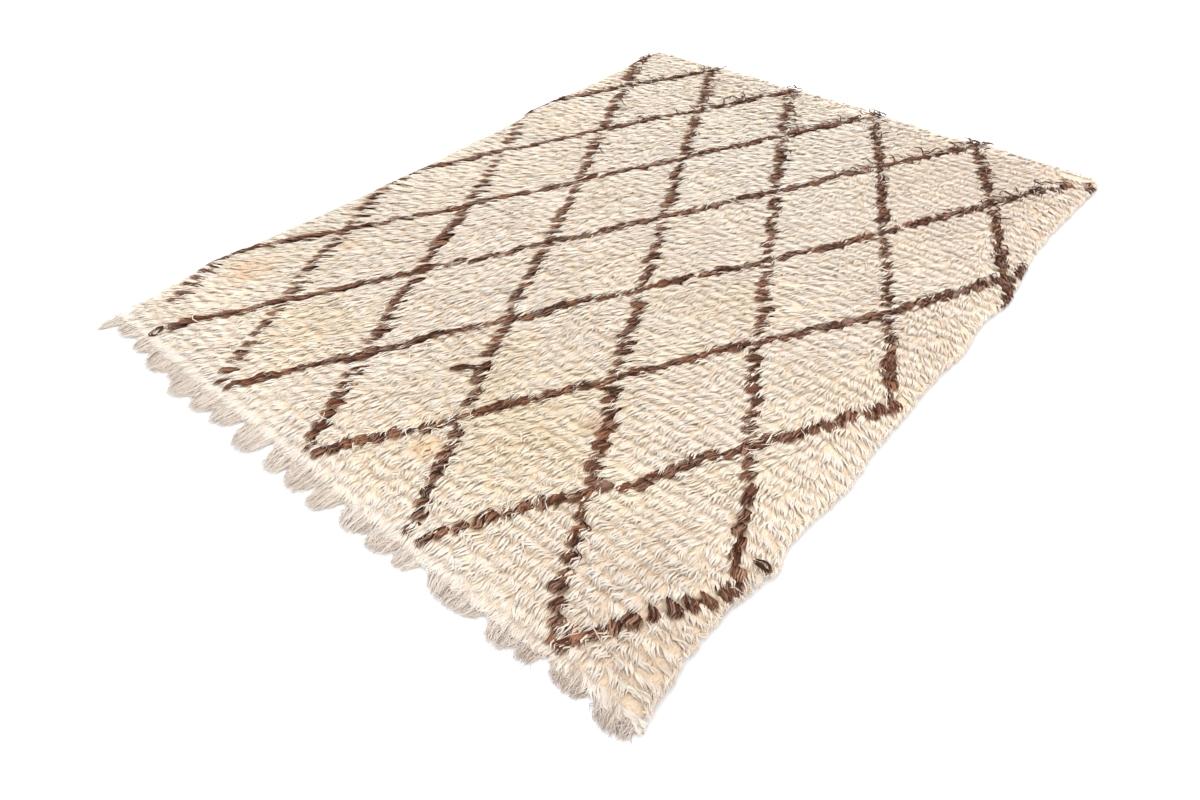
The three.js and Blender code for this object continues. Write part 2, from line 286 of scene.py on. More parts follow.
# The fringe's strands: their pitch and radius, and how far they spread from the middle of their lobe, as a
# share of its half width, at places across
FRINGE_PITCH = 0.95 * MM
FRINGE_RADIUS = 1.15 * MM
FRINGE_SPREAD = ((-0.55, -0.30, 0.90), (1.26, 0.98, 0.92))
FRINGE_GIRTH = np.array([0.9, 1.0, 1.0, 0.95, 0.8])  # from root to tip
FRINGE_GIRTHS = (0.7, 1.25)
STRAND_END, STRAND_SHORTER = 1.07, 0.35  # the longest one's end and how much shorter the others are
STRAND_CURL, STRAND_TURNS = 4.8, 3.2  # how far they curl to a side in millimetres, and how often
STRAND_RISE = (1.0, 3.0)  # how high they lie on their lobe, and how much higher the top ones
STRAND_LOW = 1.6 * MM
STRAND_LEAN = (0.5, -0.4)  # how far the light sees them lean outwards and ahead
# Tone of the strands: the lowest, how much lighter the top ones are painted as painted light, how far it
# differs, and how much darker some of them are and what share of them
FRINGE_TONE, FRINGE_TOP_PAINTED_LIGHTER, FRINGE_TONE_SPREAD = 0.42, 0.30, 0.20
FRINGE_DARKER, FRINGE_DARK = 0.5, 0.14

# Tufts along the rim: their pitch, how far in from the cloth's edge, length and turn in degrees
RIM_PITCH = 12 * MM
RIM_INSET = 4 * MM
FAR_RIM_OUT = 17 * MM  # how far past the cloth's far end the last tufts start
RIM_LENGTH = 44 * MM
RIM_LENGTHS = (0.8, 1.2)
RIM_TURN_LEFT, RIM_TURN_RIGHT, RIM_TURN_FAR = -62, 70, -8
RIM_SCATTER = 16  # how far they differ in turn
BROWN_LONGER = 1.12  # how much longer the brown locks are than the ivory ones
BROWN_LOOSE = 0.45  # how loosely brown tufts start and turn, as a share of how the ivory ones do
BROWN_LIFT = 0.07  # how much higher the brown tufts lie, as a share of the pile's height
BROWN_VARIETY = 1.6  # how much more the locks of a brown tuft differ in shade than those of an ivory one

SHOWN_AHEAD = 40 * MM  # how far past its knot, down the lie of the pile, a tuft's colour shows

# Lattice: half a diamond's width and length, a crossing's place, and how many lines there are to each side
HALF_DIAMOND = (200 * MM, 355.56 * MM)
CROSSING = (160 * MM, -200 * MM)
LINES_EACH_WAY = 8
LINE_APART = 0.37  # how far apart the lines are in the noise that they waver by
LINE_KNOTS = (1, 2, 3)  # how many knots wide a line can be, each with its chance
LINE_CHANCES = (0.04, 0.70, 0.26)
WIDER_LINE_CHANCES = (0.0, 0.45, 0.55)
# The wider chances are those of the lines that slant to the right, from here across, and of all lines from
# here along
WIDER_LINES_FROM, FAR_LINES_FROM = -150 * MM, 450 * MM
WIDER_WHERE_TURNED = math.radians(28)  # where the pile is turned more, lines are one knot wider
LINE_REACH = 22 * MM  # how far off its line a knot is brown at most
LINES_MEET = 44 * MM  # how near to one another lines are made narrower
MEETING_KNOTS = {1: 2, -1: 1}  # how many knots wide they can be there, by the way they slant

# Where the lattice was knotted off its even places: place, radius, and how far over and along
LATTICE_DRIFTS = (
    (-0.85, 1.00, 0.55, 14 * MM, 24 * MM),
    (-0.90, -0.10, 0.45, 34 * MM, 6 * MM),
    (0.15, 0.95, 0.50, -10 * MM, 22 * MM),
    (0.75, 0.25, 0.60, 18 * MM, -30 * MM),
    (-0.30, -0.95, 0.60, -6 * MM, -9 * MM),
    (0.85, -0.95, 0.40, 24 * MM, 5 * MM),
)
LATTICE_SHIFT = (-18 * MM, -1 * MM)  # how far over and along the whole lattice was knotted

# Where the lattice is worn or left out: place, radius and the share of its knots that is missing
LATTICE_GAPS = (
    (-0.90, -1.24, 0.08, 1.0),
    (0.97, 1.23, 0.075, 1.0),
    (1.005, -0.150, 0.055, 1.0),
    (1.000, -0.315, 0.055, 1.0),
    (1.010, -0.840, 0.045, 1.0),
    (0.985, -0.965, 0.040, 1.0),
)

# Slow waves that lift and drop the pile: wavelengths along and across, phase and height
WAVES = (
    (0.41, 0.90, 0.6, 1.8 * MM),
    (0.73, -0.38, 2.1, 1.6 * MM),
    (-0.25, 0.31, 4.0, 1.1 * MM),
)

# Soft troughs in the pile: from, to, half width and depth
CREASES = (
    ((-0.960, 0.018), (-0.400, 0.015), 0.040, 8 * MM),
    ((0.380, -0.760), (0.900, -0.806), 0.040, 7 * MM),
    ((0.880, -0.880), (0.985, -0.930), 0.036, 6 * MM),
)

# Stains, honey or pinker places, a greyer corner, and painted shade and light over wide parts of the rug:
# place, radius, the shade that the wool is multiplied by, and share
RAGGED, RAGGED_SCALE = 0.05, 22.0  # how far their outlines are moved about, and how finely
STAINS_AND_PAINTED_LIGHT = (
    (-0.896, -0.906, 0.100, (0.93, 0.74, 0.60), 0.80),
    (-0.762, -0.621, 0.060, (0.98, 0.78, 0.60), 0.80),
    (0.433, -0.720, 0.060, (0.80, 0.66, 0.58), 0.90),
    (0.157, -1.033, 0.060, (1.0, 0.82, 0.60), 0.80),
    # Greyer towards the fringed right corner
    (1.000, -1.220, 0.550, (0.76, 0.73, 0.72), 0.90),
    # Painted shade: the near half of the rug darker
    (0.550, -0.350, 0.900, (0.93, 0.915, 0.90), 0.80),
    # Painted light: the far side brighter and whiter
    (-0.100, 0.850, 0.850, (1.0, 1.04, 1.08), 0.80),
    (0.850, 0.950, 0.700, (0.96, 0.90, 0.88), 0.70),
    (0.950, 0.100, 0.400, (0.96, 0.92, 0.90), 0.60),
    (0.250, -0.850, 0.420, (0.94, 0.915, 0.82), 0.80),
    # Painted shade: the left rim darker
    (-1.020, -0.450, 0.550, (0.90, 0.90, 0.89), 0.80),
    (-0.500, -0.950, 0.240, (1.0, 0.97, 0.86), 0.80),
)

# Where the pile is brushed aside from its lie towards the fringe: place, radius and turn in degrees
SWEEPS = (
    (0.15, -1.28, 0.26, 26),
    (0.90, -1.22, 0.34, 20),
    (-0.40, -1.02, 0.26, -10),
    (0.55, -0.55, 0.32, -8),
    (0.62, 0.10, 0.36, -16),
    (-0.05, 0.75, 0.26, -12),
    (0.35, 0.55, 0.22, 8),
)
LIE_TURN = -5  # of the whole pile, in degrees
# Near the long sides it is turned outwards: by how much, how far in this begins, and how it grows
EDGE_TURN_LEFT, EDGE_TURN_RIGHT = 42, 60
EDGE_TURN_WIDTH_LEFT, EDGE_TURN_WIDTH_RIGHT = 0.60, 0.20
EDGE_TURN_CURVE = 1.3

# Wool shades from a lock's lowest tone to its highest, at places between them
IVORY_SHADES = (
    (0.0, (0.98, 0.85, 0.675)),
    (0.3, (0.93, 0.875, 0.80)),
    (0.65, (0.885, 0.865, 0.825)),
    (1.0, (0.86, 0.85, 0.835)),
)
BROWN_SHADES = (
    (0.2, (0.052, 0.017, 0.008)),
    (0.5, (0.207, 0.098, 0.055)),
    (0.8, (0.46, 0.285, 0.195)),
)
FRINGE_SHADES = (
    (0.0, (0.39, 0.305, 0.25)),
    (0.35, (0.70, 0.62, 0.555)),
    (0.7, (0.805, 0.75, 0.71)),
    (1.0, (0.91, 0.895, 0.88)),
)
# The same wools painted in the darker, warmer shade deep in the pile, as painted shade, and in soft patches,
# and the two tints that each lock is dyed between
IVORY_PAINTED_SHADE, IVORY_PATCH = (1.0, 0.77, 0.545), (0.94, 0.87, 0.72)
BROWN_PAINTED_SHADE, BROWN_PATCH = (0.04, 0.013, 0.006), (0.24, 0.090, 0.045)
FRINGE_PAINTED_SHADE, FRINGE_PATCH = (0.76, 0.65, 0.555), (0.785, 0.72, 0.655)
IVORY_TINTS = ((1.0, 0.985, 0.97), (1.0, 0.97, 0.93))
BROWN_TINTS = ((0.84, 0.93, 1.05), (1.12, 0.92, 0.78))
FRINGE_TINTS = ((1.0, 0.97, 0.96), (1.0, 0.98, 0.93))
# What the lines between the fibres of a lock are darkened by, as painted shade between the fibres
STREAK_SHADE, BROWN_STREAK_SHADE = (0.92, 0.80, 0.64), (0.50, 0.44, 0.40)
# The packed wool under the locks, painted in the darker, warmer shade that lies deep in the pile, as painted
# shade
PACKED_IVORY_SHADED, PACKED_BROWN_SHADED = (1.0, 0.80, 0.59), (0.049, 0.017, 0.008)
PACKED_FRINGE_SHADED = (0.675, 0.58, 0.50)
BROWN_SPILL, BROWN_FADE = 1.6, 10 * MM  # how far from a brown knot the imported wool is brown

# Finish of the wools: how rough and bright they are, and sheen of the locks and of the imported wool
WOOL_ROUGH, WOOL_BRIGHT, SHEEN_ROUGH = 0.85, 0.2, 0.5
LOCK_SHEEN, PACKED_SHEEN = 0.2, 0.1
# Patterns in it: their scale, and which of their values are taken from low to high, and to what
NOISE_DETAIL = 3.0
PATCH_SCALE, PATCH_VALUES = 3.2, (0.45, 0.70, 0.0, 0.6)
FIBRE_SCALE, FIBRE_VALUES = 3.0, (0.32, 0.52)
PACKED_SCALE, PACKED_VALUES = 420.0, (0.35, 0.65, 0.72, 1.1)
PACKED_STRETCH = (1.0, 0.15, 1.0)
MARK_CORE = 0.25  # how much of such a place's radius has its full shade
MARK_STREAKS = (0.2, 0.8, 0.35, 1.25)  # how a lock's own tint lets it take more or less of the shade
NO_SHADE = (1.0, 1.0, 1.0)
# Strength and depth of their bumps
LOCK_BUMP, PACKED_BUMP, WEAVE_BUMP = (0.4, 0.0006), (0.6, 0.002), (0.5, 0.001)

# Towards the fringe the ivory pales to its shade: where this begins and where it ends along the rug
PALER_TO_FRINGE = (-1.14, -1.27)
PALER_WOOL = (0.83, 0.775, 0.72)

# The woven back: its yarn, its knots in both wools, and how many knots wide the lines show
BACK_YARN, BACK_IVORY, BACK_BROWN = (0.66, 0.58, 0.46), (0.80, 0.70, 0.54), (0.10, 0.045, 0.025)
BACK_LINE_KNOTS = 1.3
ROW_VALUES = (0.20, 0.14)  # where a row of knots begins and is full, in rows from its middle
WEAVE_VALUES = (-1.0, 1.0, 0.75, 1.05)  # from the lowest of the weave to the highest, and their shades

# The pale floor and the light
FLOOR_SIZE, FLOOR_SHADE, FLOOR_ROUGH = 30, (0.93, 0.93, 0.93, 1), 0.9
STUDIO_SHADE, STUDIO_STRENGTH = (1, 1, 1, 1), 1.385
KEY_PLACE, KEY_SIZE, KEY_WATTS = (-1.4, 3.2, 3.4), 4.0, 44

rng = np.random.default_rng(SEED)


def eased(table, column, place):
    """One column of a table at places between its rows, eased from row to row."""
    keys = table[:, 0]
    last = np.clip(np.searchsorted(keys, place, side="right"), 1, len(keys) - 1)
    share = np.clip((place - keys[last - 1]) / (keys[last] - keys[last - 1]), 0, 1)
    share = share * share * (3 - 2 * share)
    return table[last - 1, column] * (1 - share) + table[last, column] * share


def soft_noise(x, y, cell, seed):
    """Smooth, even noise from -1 to 1 over the floor, with features about a cell wide."""
    grid = np.random.default_rng(seed).uniform(-1, 1, (NOISE_CELLS, NOISE_CELLS))
    u, v = x / cell + NOISE_CELLS / 2, y / cell + NOISE_CELLS / 2
    i, j = np.floor(u).astype(int), np.floor(v).astype(int)
    du, dv = u - i, v - j
    du, dv = du * du * (3 - 2 * du), dv * dv * (3 - 2 * dv)
    i, j = i % (NOISE_CELLS - 1), j % (NOISE_CELLS - 1)
    low = grid[i, j] * (1 - du) + grid[i + 1, j] * du
    high = grid[i, j + 1] * (1 - du) + grid[i + 1, j + 1] * du
    return low * (1 - dv) + high * dv


def uneven(x, y, kind):
    """Soft unevenness over the floor, of one of the kinds named above."""
    amount, cell, seed = kind
    return amount * soft_noise(x, y, cell, SEED + seed)


def risen(place, start, over):
    """How far a place is past a start, as a share of what it rises over, from 0 to 1."""
    return np.clip((place - start) / over, 0, 1)


def scattered(most, count):
    return rng.uniform(-most, most, count)


def wall_left(y):
    return eased(SIDES, 1, y) + LOCK_REACH


def wall_right(y):
    return eased(SIDES, 2, y) - LOCK_REACH


def wall_near(x):
    return eased(ENDS, 1, x)


def wall_far(x):
    return eased(ENDS, 2, x) - LOCK_REACH


def crease_depth(x, y):
    depth = np.zeros_like(x)
    for (x0, y0), (x1, y1), half, deep in CREASES:
        along = ((x - x0) * (x1 - x0) + (y - y0) * (y1 - y0)) / ((x1 - x0) ** 2 + (y1 - y0) ** 2)
        along = np.clip(along, 0, 1)
        away = np.hypot(x - x0 - along * (x1 - x0), y - y0 - along * (y1 - y0))
        depth += deep * np.exp(-((away / half) ** 2))
    return depth


def inward(x, y):
    """How far a place on the floor is inside the cloth's own edge."""
    sides = np.minimum(x - wall_left(y), wall_right(y) - x)
    return np.minimum(sides, np.minimum(y - wall_near(x), wall_far(x) - y))


def shoulder(away, width):
    """How far the pile has risen to its full height, this far in from an edge."""
    return np.sin(np.clip(away / width, 0, 1) * math.pi / 2)


def pile_height(x, y):
    """Height of the tips of the pile over the floor, falling over the cloth's edge and to the fringe."""
    top = PILE_TOP + uneven(x, y, PILE_LUMPS) - crease_depth(x, y)
    for along, across, phase, height in WAVES:
        top = top + height * np.sin(2 * math.pi * (y / along + x / across) + phase)
    inside = inward(x, y)
    fall = np.where(x > wall_right(y), RIM_FALL_RIGHT, RIM_FALL)
    fall = fall * risen(-inside, 0, OVER_THE_EDGE) ** RIM_FALL_CURVE
    by_sides = RIM_HEIGHT * (1 - fall) + (top - RIM_HEIGHT) * shoulder(inside, SHOULDER)
    by_fringe = FRINGE_TOP + (top - FRINGE_TOP) * shoulder(y - wall_near(x), FRINGE_SHOULDER)
    return np.minimum(by_sides, by_fringe)


def row_shift(x, y):
    """How far a row of knots wanders along the rug."""
    return uneven(x, y, ROW_WANDER)


def bed_height(x, y):
    """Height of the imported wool: it rises down the lie of the pile from each row of knots to the next."""
    past_row = (ENDS[:, 1].min() + FIRST_ROW + row_shift(x, y) - y) / ROW_PITCH % 1
    share = LOCK_FOOT + (1 - LOCK_FOOT) * past_row * ROW_PITCH / LOCK_LENGTH
    return BED_SHARE * share * pile_height(x, y)


def evenness(x, y):
    """How evenly the tufts of a row end together, from 0 to 1: most at the right and by the fringe."""
    near = EVEN_NEAR_SHARE * risen(-y, *EVEN_NEAR)
    return EVEN_LEAST + EVEN_MORE * np.maximum(risen(x, *EVEN_RIGHT), near)


def waviness(x, y):
    """How strongly the locks curl, as a share: more towards the fringed end and its right corner."""
    return WAVY_LEAST + WAVY_MORE * risen(-y, *WAVY_NEAR) * risen(x, *WAVY_RIGHT)


def ruffled(x, y):
    """How ruffled the pile is, as a share: least in the middle of the left side, where it is combed."""
    sx, sy, wide, long, share = COMBED
    return 1 - share * np.exp(-(((x - sx) / wide) ** 2) - ((y - sy) / long) ** 2)


def turn_at(x, y):
    """How far the pile is turned from its lie towards the fringe, positive towards +X, in radians."""
    left = np.clip(1 - (x - wall_left(y)) / EDGE_TURN_WIDTH_LEFT, 0, 1)
    right = np.clip(1 - (wall_right(y) - x) / EDGE_TURN_WIDTH_RIGHT, 0, 1)
    turn = LIE_TURN + EDGE_TURN_RIGHT * right**EDGE_TURN_CURVE
    turn = turn - EDGE_TURN_LEFT * left**EDGE_TURN_CURVE
    for sx, sy, radius, degrees in SWEEPS:
        turn = turn + degrees * np.exp(-((x - sx) ** 2 + (y - sy) ** 2) / radius**2)
    for wander in TURN_WANDERS:
        turn = turn + uneven(x, y, wander)
    return np.radians(turn)


def knots():
    """All knots as rows of (x, y), from the fringed end to the far end."""
    rows = []
    y_row = ENDS[:, 1].min() + FIRST_ROW
    while y_row < ENDS[:, 2].max():
        middle = np.array(y_row)
        first, last = wall_left(middle) + ROW_INSET_LEFT, wall_right(middle) - ROW_INSET_RIGHT
        x = np.arange(first, last, KNOT_PITCH)
        x = x + scattered(KNOT_OFF_ACROSS, len(x)) * MM
        y = y_row + row_shift(x, np.full_like(x, y_row)) + scattered(KNOT_OFF_ALONG, len(x)) * MM
        inside = inward(x, y) > KNOT_INSET
        if inside.any():
            rows.append(np.stack([x, y], 1)[inside])
        y_row += ROW_PITCH
    return rows


def drifted(x, y):
    """A place on the rug, put back to where it would be if the lattice were knotted evenly."""
    over, along = LATTICE_SHIFT
    for sx, sy, radius, dx, dy in LATTICE_DRIFTS:
        share = np.exp(-((x - sx) ** 2 + (y - sy) ** 2) / radius**2)
        over, along = over + dx * share, along + dy * share
    return x - over, y - along


def line_places(y):
    """Where the lattice's lines cross a row of knots, both ways of slanting, wavering as knotted."""
    across, along = HALF_DIAMOND
    amount, cell, seed = LINE_WAVER
    steps = (y - CROSSING[1]) / along
    found = []
    for line in range(-LINES_EACH_WAY, LINES_EACH_WAY + 1):
        for slant in (1, -1):
            spot = np.array(LINE_APART * line), np.array(y)
            waver = amount * float(soft_noise(*spot, cell, SEED + seed + slant))
            found.append((slant, CROSSING[0] + across * (2 * line + slant * steps) + waver))
    return found


def brown_in_row(row):
    """Which knots of a row are brown: the few nearest to where each line of the lattice shows."""
    turn = turn_at(*row.T)
    shown_x = row[:, 0] + SHOWN_AHEAD * np.sin(turn)
    shown_y = row[:, 1].mean() - SHOWN_AHEAD * np.cos(turn)
    even_x, even_y = drifted(shown_x, shown_y)
    left_out = np.zeros(len(row))
    for sx, sy, radius, share in LATTICE_GAPS:
        left_out = np.maximum(left_out, share * (np.hypot(shown_x - sx, shown_y - sy) < radius))
    brown = np.zeros(len(row), bool)
    slope = HALF_DIAMOND[0] / HALF_DIAMOND[1]
    middle = even_y.mean()
    lines = line_places(middle)
    for slant, place in lines:
        away = np.abs(even_x - place - slant * slope * (even_y - middle))
        wider = middle > FAR_LINES_FROM or (slant > 0 and place > WIDER_LINES_FROM)
        knots_wide = rng.choice(LINE_KNOTS, p=WIDER_LINE_CHANCES if wider else LINE_CHANCES)
        if any(abs(place - other) < LINES_MEET for way, other in lines if way == -slant):
            knots_wide = min(knots_wide, MEETING_KNOTS[slant])
        if turn[np.argmin(away)] > WIDER_WHERE_TURNED:
            knots_wide += 1
        nearest = np.argsort(away)[:knots_wide]
        if away[nearest[0]] < LINE_REACH and rng.uniform() >= left_out[nearest[0]]:
            brown[nearest[away[nearest] < LINE_REACH]] = True
    return brown


def tufts():
    """Neighbouring knots of one colour whose locks are brushed together, an entry in each list for each."""
    made = {"heart": [], "size": [], "brown": [], "length": []}
    for number, row in enumerate(knots()):
        brown = brown_in_row(row) & (number > 0)
        start = 0
        while start < len(row):
            size = BROWN_TUFT if brown[start] else rng.choice(TUFT_SIZES, p=TUFT_CHANCES)
            stop = start + 1
            while stop < min(start + size, len(row)) and brown[stop] == brown[start]:
                stop += 1
            made["heart"].append(row[start:stop].mean(0))
            made["size"].append(stop - start)
            made["brown"].append(brown[start])
            long = LOCK_LENGTH if number else FIRST_LOCK_LENGTH
            made["length"].append(long * (BROWN_LONGER if brown[start] else 1))
            start = stop
    made = {name: np.array(values) for name, values in made.items()}
    made["turn"] = turn_at(*made["heart"].T)
    return made


def tree_of(places):
    """A search tree over places on the floor."""
    tree = KDTree(len(places))
    for i, (x, y) in enumerate(places):
        tree.insert((x, y, 0), i)
    tree.balance()
    return tree


def rim_tufts(inner):
    """Tufts that fall outwards over the two sides and the far end, coloured as the knots beside them."""
    along = np.arange(ENDS[:, 1].min() + RIM_PITCH, ENDS[:, 2].min() - RIM_PITCH, RIM_PITCH)
    across = np.arange(SIDES[:, 1].max() + RIM_PITCH, SIDES[:, 2].min() - RIM_PITCH, RIM_PITCH)
    heart = np.concatenate([
        np.stack([wall_left(along) + RIM_INSET, along], 1),
        np.stack([wall_right(along) - RIM_INSET, along], 1),
        np.stack([across, wall_far(across) + FAR_RIM_OUT], 1),
    ])
    turn = np.repeat((RIM_TURN_LEFT, RIM_TURN_RIGHT, RIM_TURN_FAR), (len(along), len(along), len(across)))
    tree = tree_of(inner["heart"])
    beside = np.array([tree.find((x, y, 0))[1] for x, y in heart])
    return {
        "heart": heart,
        "size": np.ones(len(heart), int),
        "brown": inner["brown"][beside],
        "length": RIM_LENGTH * rng.uniform(*RIM_LENGTHS, len(heart)),
        "turn": np.radians(turn + rng.normal(0, RIM_SCATTER, len(heart))),
    }


def with_habit(made):
    """Gives each tuft its own turn, curl, height and shade, which all its locks share."""
    count = len(made["size"])
    made["loose"] = np.where(made["brown"], BROWN_LOOSE, 1)
    made["ruffled"] = ruffled(*made["heart"].T)
    made["even"] = evenness(*made["heart"].T)
    for name, amount in TUFT_SPREAD.items():
        if name in LESS_IN_BROWN:
            amount = amount * made["loose"]
        if name in LESS_WHERE_COMBED:
            amount = amount * made["ruffled"]
        if name == "start":
            amount = amount * (1 - START_EVENED * made["even"])
        made[name] = made.get(name, 0) + rng.normal(0, 1, count) * amount
    made["lift"] = made["lift"] + BROWN_LIFT * made["brown"]
    made["variety"] = 1 + BROWN_VARIETY * made["brown"]
    return made


def headings(turn):
    """The ways ahead and aside on the floor of locks that are turned from the lie towards the fringe."""
    ahead = np.stack([np.sin(turn), -np.cos(turn)], 1)
    aside = np.stack([np.cos(turn), np.sin(turn)], 1)
    return ahead, aside


def swayed(share, turns, phase):
    """How far a curling strand is to the side of its root, at a share of its length."""
    return np.sin(turns * math.pi * share + phase) - np.sin(phase)


def tuft_locks(made, shape, per_knot, sunk=0.0):
    """Middle lines, soft normals, radii and shades of one layer of the locks of some tufts."""
    each = made["size"] * per_knot
    tuft = np.repeat(np.arange(len(each)), each)
    count = len(tuft)
    place_in_tuft = np.arange(count) - np.repeat(np.cumsum(each) - each, each)
    across = 2 * (place_in_tuft + rng.uniform(0.0, 1.0, count)) / each[tuft] - 1
    own = {name: values[tuft] for name, values in made.items()}
    half = own["size"] * KNOT_PITCH / 2
    even, combed = own["even"], own["ruffled"]
    wavy = waviness(*own["heart"].T)
    turn = own["turn"] + np.radians(rng.normal(0, LOCK_TURN, count)) * combed
    ahead, aside = headings(turn)
    ragged = (1 - START_EVENED_WITHIN * even) * own["loose"]
    start = own["start"] + ragged * scattered(LOCK_START, count) * MM
    longer = scattered(LOCK_LONGER, count) * (1 - LENGTH_EVENED_WITHIN * even)
    reach = own["length"] * (LENGTH_SHARE + longer)
    reach = reach * (1 - SIDES_SHORTER * across**2)
    reach = reach * (1 + UNEVEN_LONGER * (1 - even)) * (1 - WAVY_SHORTER * (wavy - WAVY_LEAST))
    lift = 1 - sunk + own["lift"] + rng.normal(0, LOCK_LIFT, count) * combed
    bow = (own["bow"] + rng.normal(0, LOCK_BOW, count)) * (wavy * reach)
    curl = (own["curl"] + rng.normal(0, LOCK_CURL, count)) * (wavy * reach)
    edge_slack = rng.uniform(*LOCK_SLACKS, count)
    middle = np.empty((count, len(shape), 3))
    soft = np.empty_like(middle)
    for k, (share, rise, width, slope, _) in enumerate(shape):
        at_tip = share == 1
        rise = rise - TIP_FALL * even * at_tip
        slope = slope + TIP_ROUND * even * at_tip
        width = width + TIP_SPREAD * (even - 0.5) * at_tip
        sideways = across * half * np.cos(turn) * width
        sideways = sideways + bow * math.sin(math.pi * share) + curl * math.sin(2 * math.pi * share)
        forward = start + reach * share + across * half * np.sin(turn) * (1 - TUFT_GATHERED * share)
        spot = own["heart"] + ahead * forward[:, None] + aside * sideways[:, None]
        px, py = held_at_edge(spot[:, 0], spot[:, 1], edge_slack)
        crowned = rise * (1 - TUFT_CROWN * across**2) * lift
        pz = pile_height(px, py) * (LOCK_FOOT + (1 - LOCK_FOOT) * crowned)
        middle[:, k] = np.stack([px, py, np.maximum(pz, LOCK_LOW)], 1)
        lean = aside * (TUFT_ROUND * across)[:, None] + ahead * slope[:, None]
        soft[:, k] = np.concatenate([lean, np.ones((count, 1))], 1)
    # Inner locks and those at a tuft's sides are painted darker, as painted shade
    tone = TONE_MIDDLE - SUNK_PAINTED_DARKER * sunk + own["tone"] - SIDES_PAINTED_DARKER * across**2
    tone = tone + rng.normal(0, LOCK_TONE, count) * own["variety"]
    return {
        "middle": middle,
        "soft": soft,
        "radius": LOCK_RADIUS * rng.uniform(*LOCK_GIRTHS, count),
        "girth": shape[:-1, 4],
        "tone": np.clip(tone, 0, 1),
        "tint": np.clip(0.5 + own["tint"] + rng.normal(0, LOCK_TINT, count), 0, 1),
    }


def held_at_edge(x, y, share):
    """Draws what lies past the cloth's edge in, so that locks end near the rug's outline."""
    near_slack = SLACK_NEAR - (SLACK_NEAR - SLACK_NEAR_RIGHT) * risen(x, 0, SLACK_EASED_OVER)
    y = wall_near(x) - held(wall_near(x) - y, share * near_slack)
    y = wall_far(x) + held(y - wall_far(x), share * SLACK_FAR)
    x = wall_left(y) - held(wall_left(y) - x, share * SLACK_LEFT)
    x = wall_right(y) + held(x - wall_right(y), share * SLACK_RIGHT)
    return x, y


def held(past, slack):
    """How far past an edge a place is, eased so that it stays within the slack."""
    return np.where(past > 0, slack * (1 - np.exp(-np.maximum(past, 0) / slack)), past)


def grid_cells(x, y):
    """Which squares of the grid of heights some places are in."""
    i = ((x - SIDES[:, 1].min() + GRID_MARGIN) / GRID_PITCH).astype(int)
    j = ((y - ENDS[:, 1].min() + GRID_MARGIN) / GRID_PITCH).astype(int)
    return i, j


def top_of_wool(layers):
    """The height of the topmost lock over each square of a fine grid on the floor, a little evened out."""
    last = grid_cells(SIDES[:, 2].max() + GRID_MARGIN, ENDS[:, 2].max() + GRID_MARGIN)
    top = np.zeros((last[0] + 2, last[1] + 2))
    for locks in layers:
        middle = locks["middle"]
        for share in (0, 0.25, 0.5, 0.75, 1):
            spots = middle[:, :-1] * (1 - share) + middle[:, 1:] * share
            np.maximum.at(top, grid_cells(spots[..., 0], spots[..., 1]), spots[..., 2])
    around = [(i, j) for i in (-1, 0, 1) for j in (-1, 0, 1)]
    top = np.max([np.roll(top, step, (0, 1)) for step in around], axis=0)
    return np.mean([np.roll(top, step, (0, 1)) for step in around], axis=0)


def how_buried(middle, top):
    """How far below the topmost locks some locks lie at each of their stations, from 0 to 1: how much
    painted shade they get.
    """
    above = top[grid_cells(middle[..., 0], middle[..., 1])]
    return np.clip((above - middle[..., 2] - BURIED_FROM) / BURIED_OVER, 0, 1)


def unit(vectors):
    """Vectors brought to a length of one."""
    return vectors / np.maximum(np.linalg.norm(vectors, axis=-1, keepdims=True), NEARLY_NONE)


def grain_at(start, round_it, along):
    """Places in the pattern of the fibres for a corner of each lock."""
    return np.stack([start + round_it, start + GRAIN_STEP * along, GRAIN_APART * start], 1)


def lock_faces(rings):
    """Corners of one lock's faces: its closed root, its three sides from ring to ring, and its point."""
    faces = [(0, 2, 1)]
    for k in range(rings - 1):
        for j in range(3):
            a, b = 3 * k + j, 3 * k + (j + 1) % 3
            faces += [(a, b, b + 3), (a, b + 3, a + 3)]
    for j in range(3):
        faces.append((3 * (rings - 1) + j, 3 * (rings - 1) + (j + 1) % 3, 3 * rings))
    return np.array(faces)


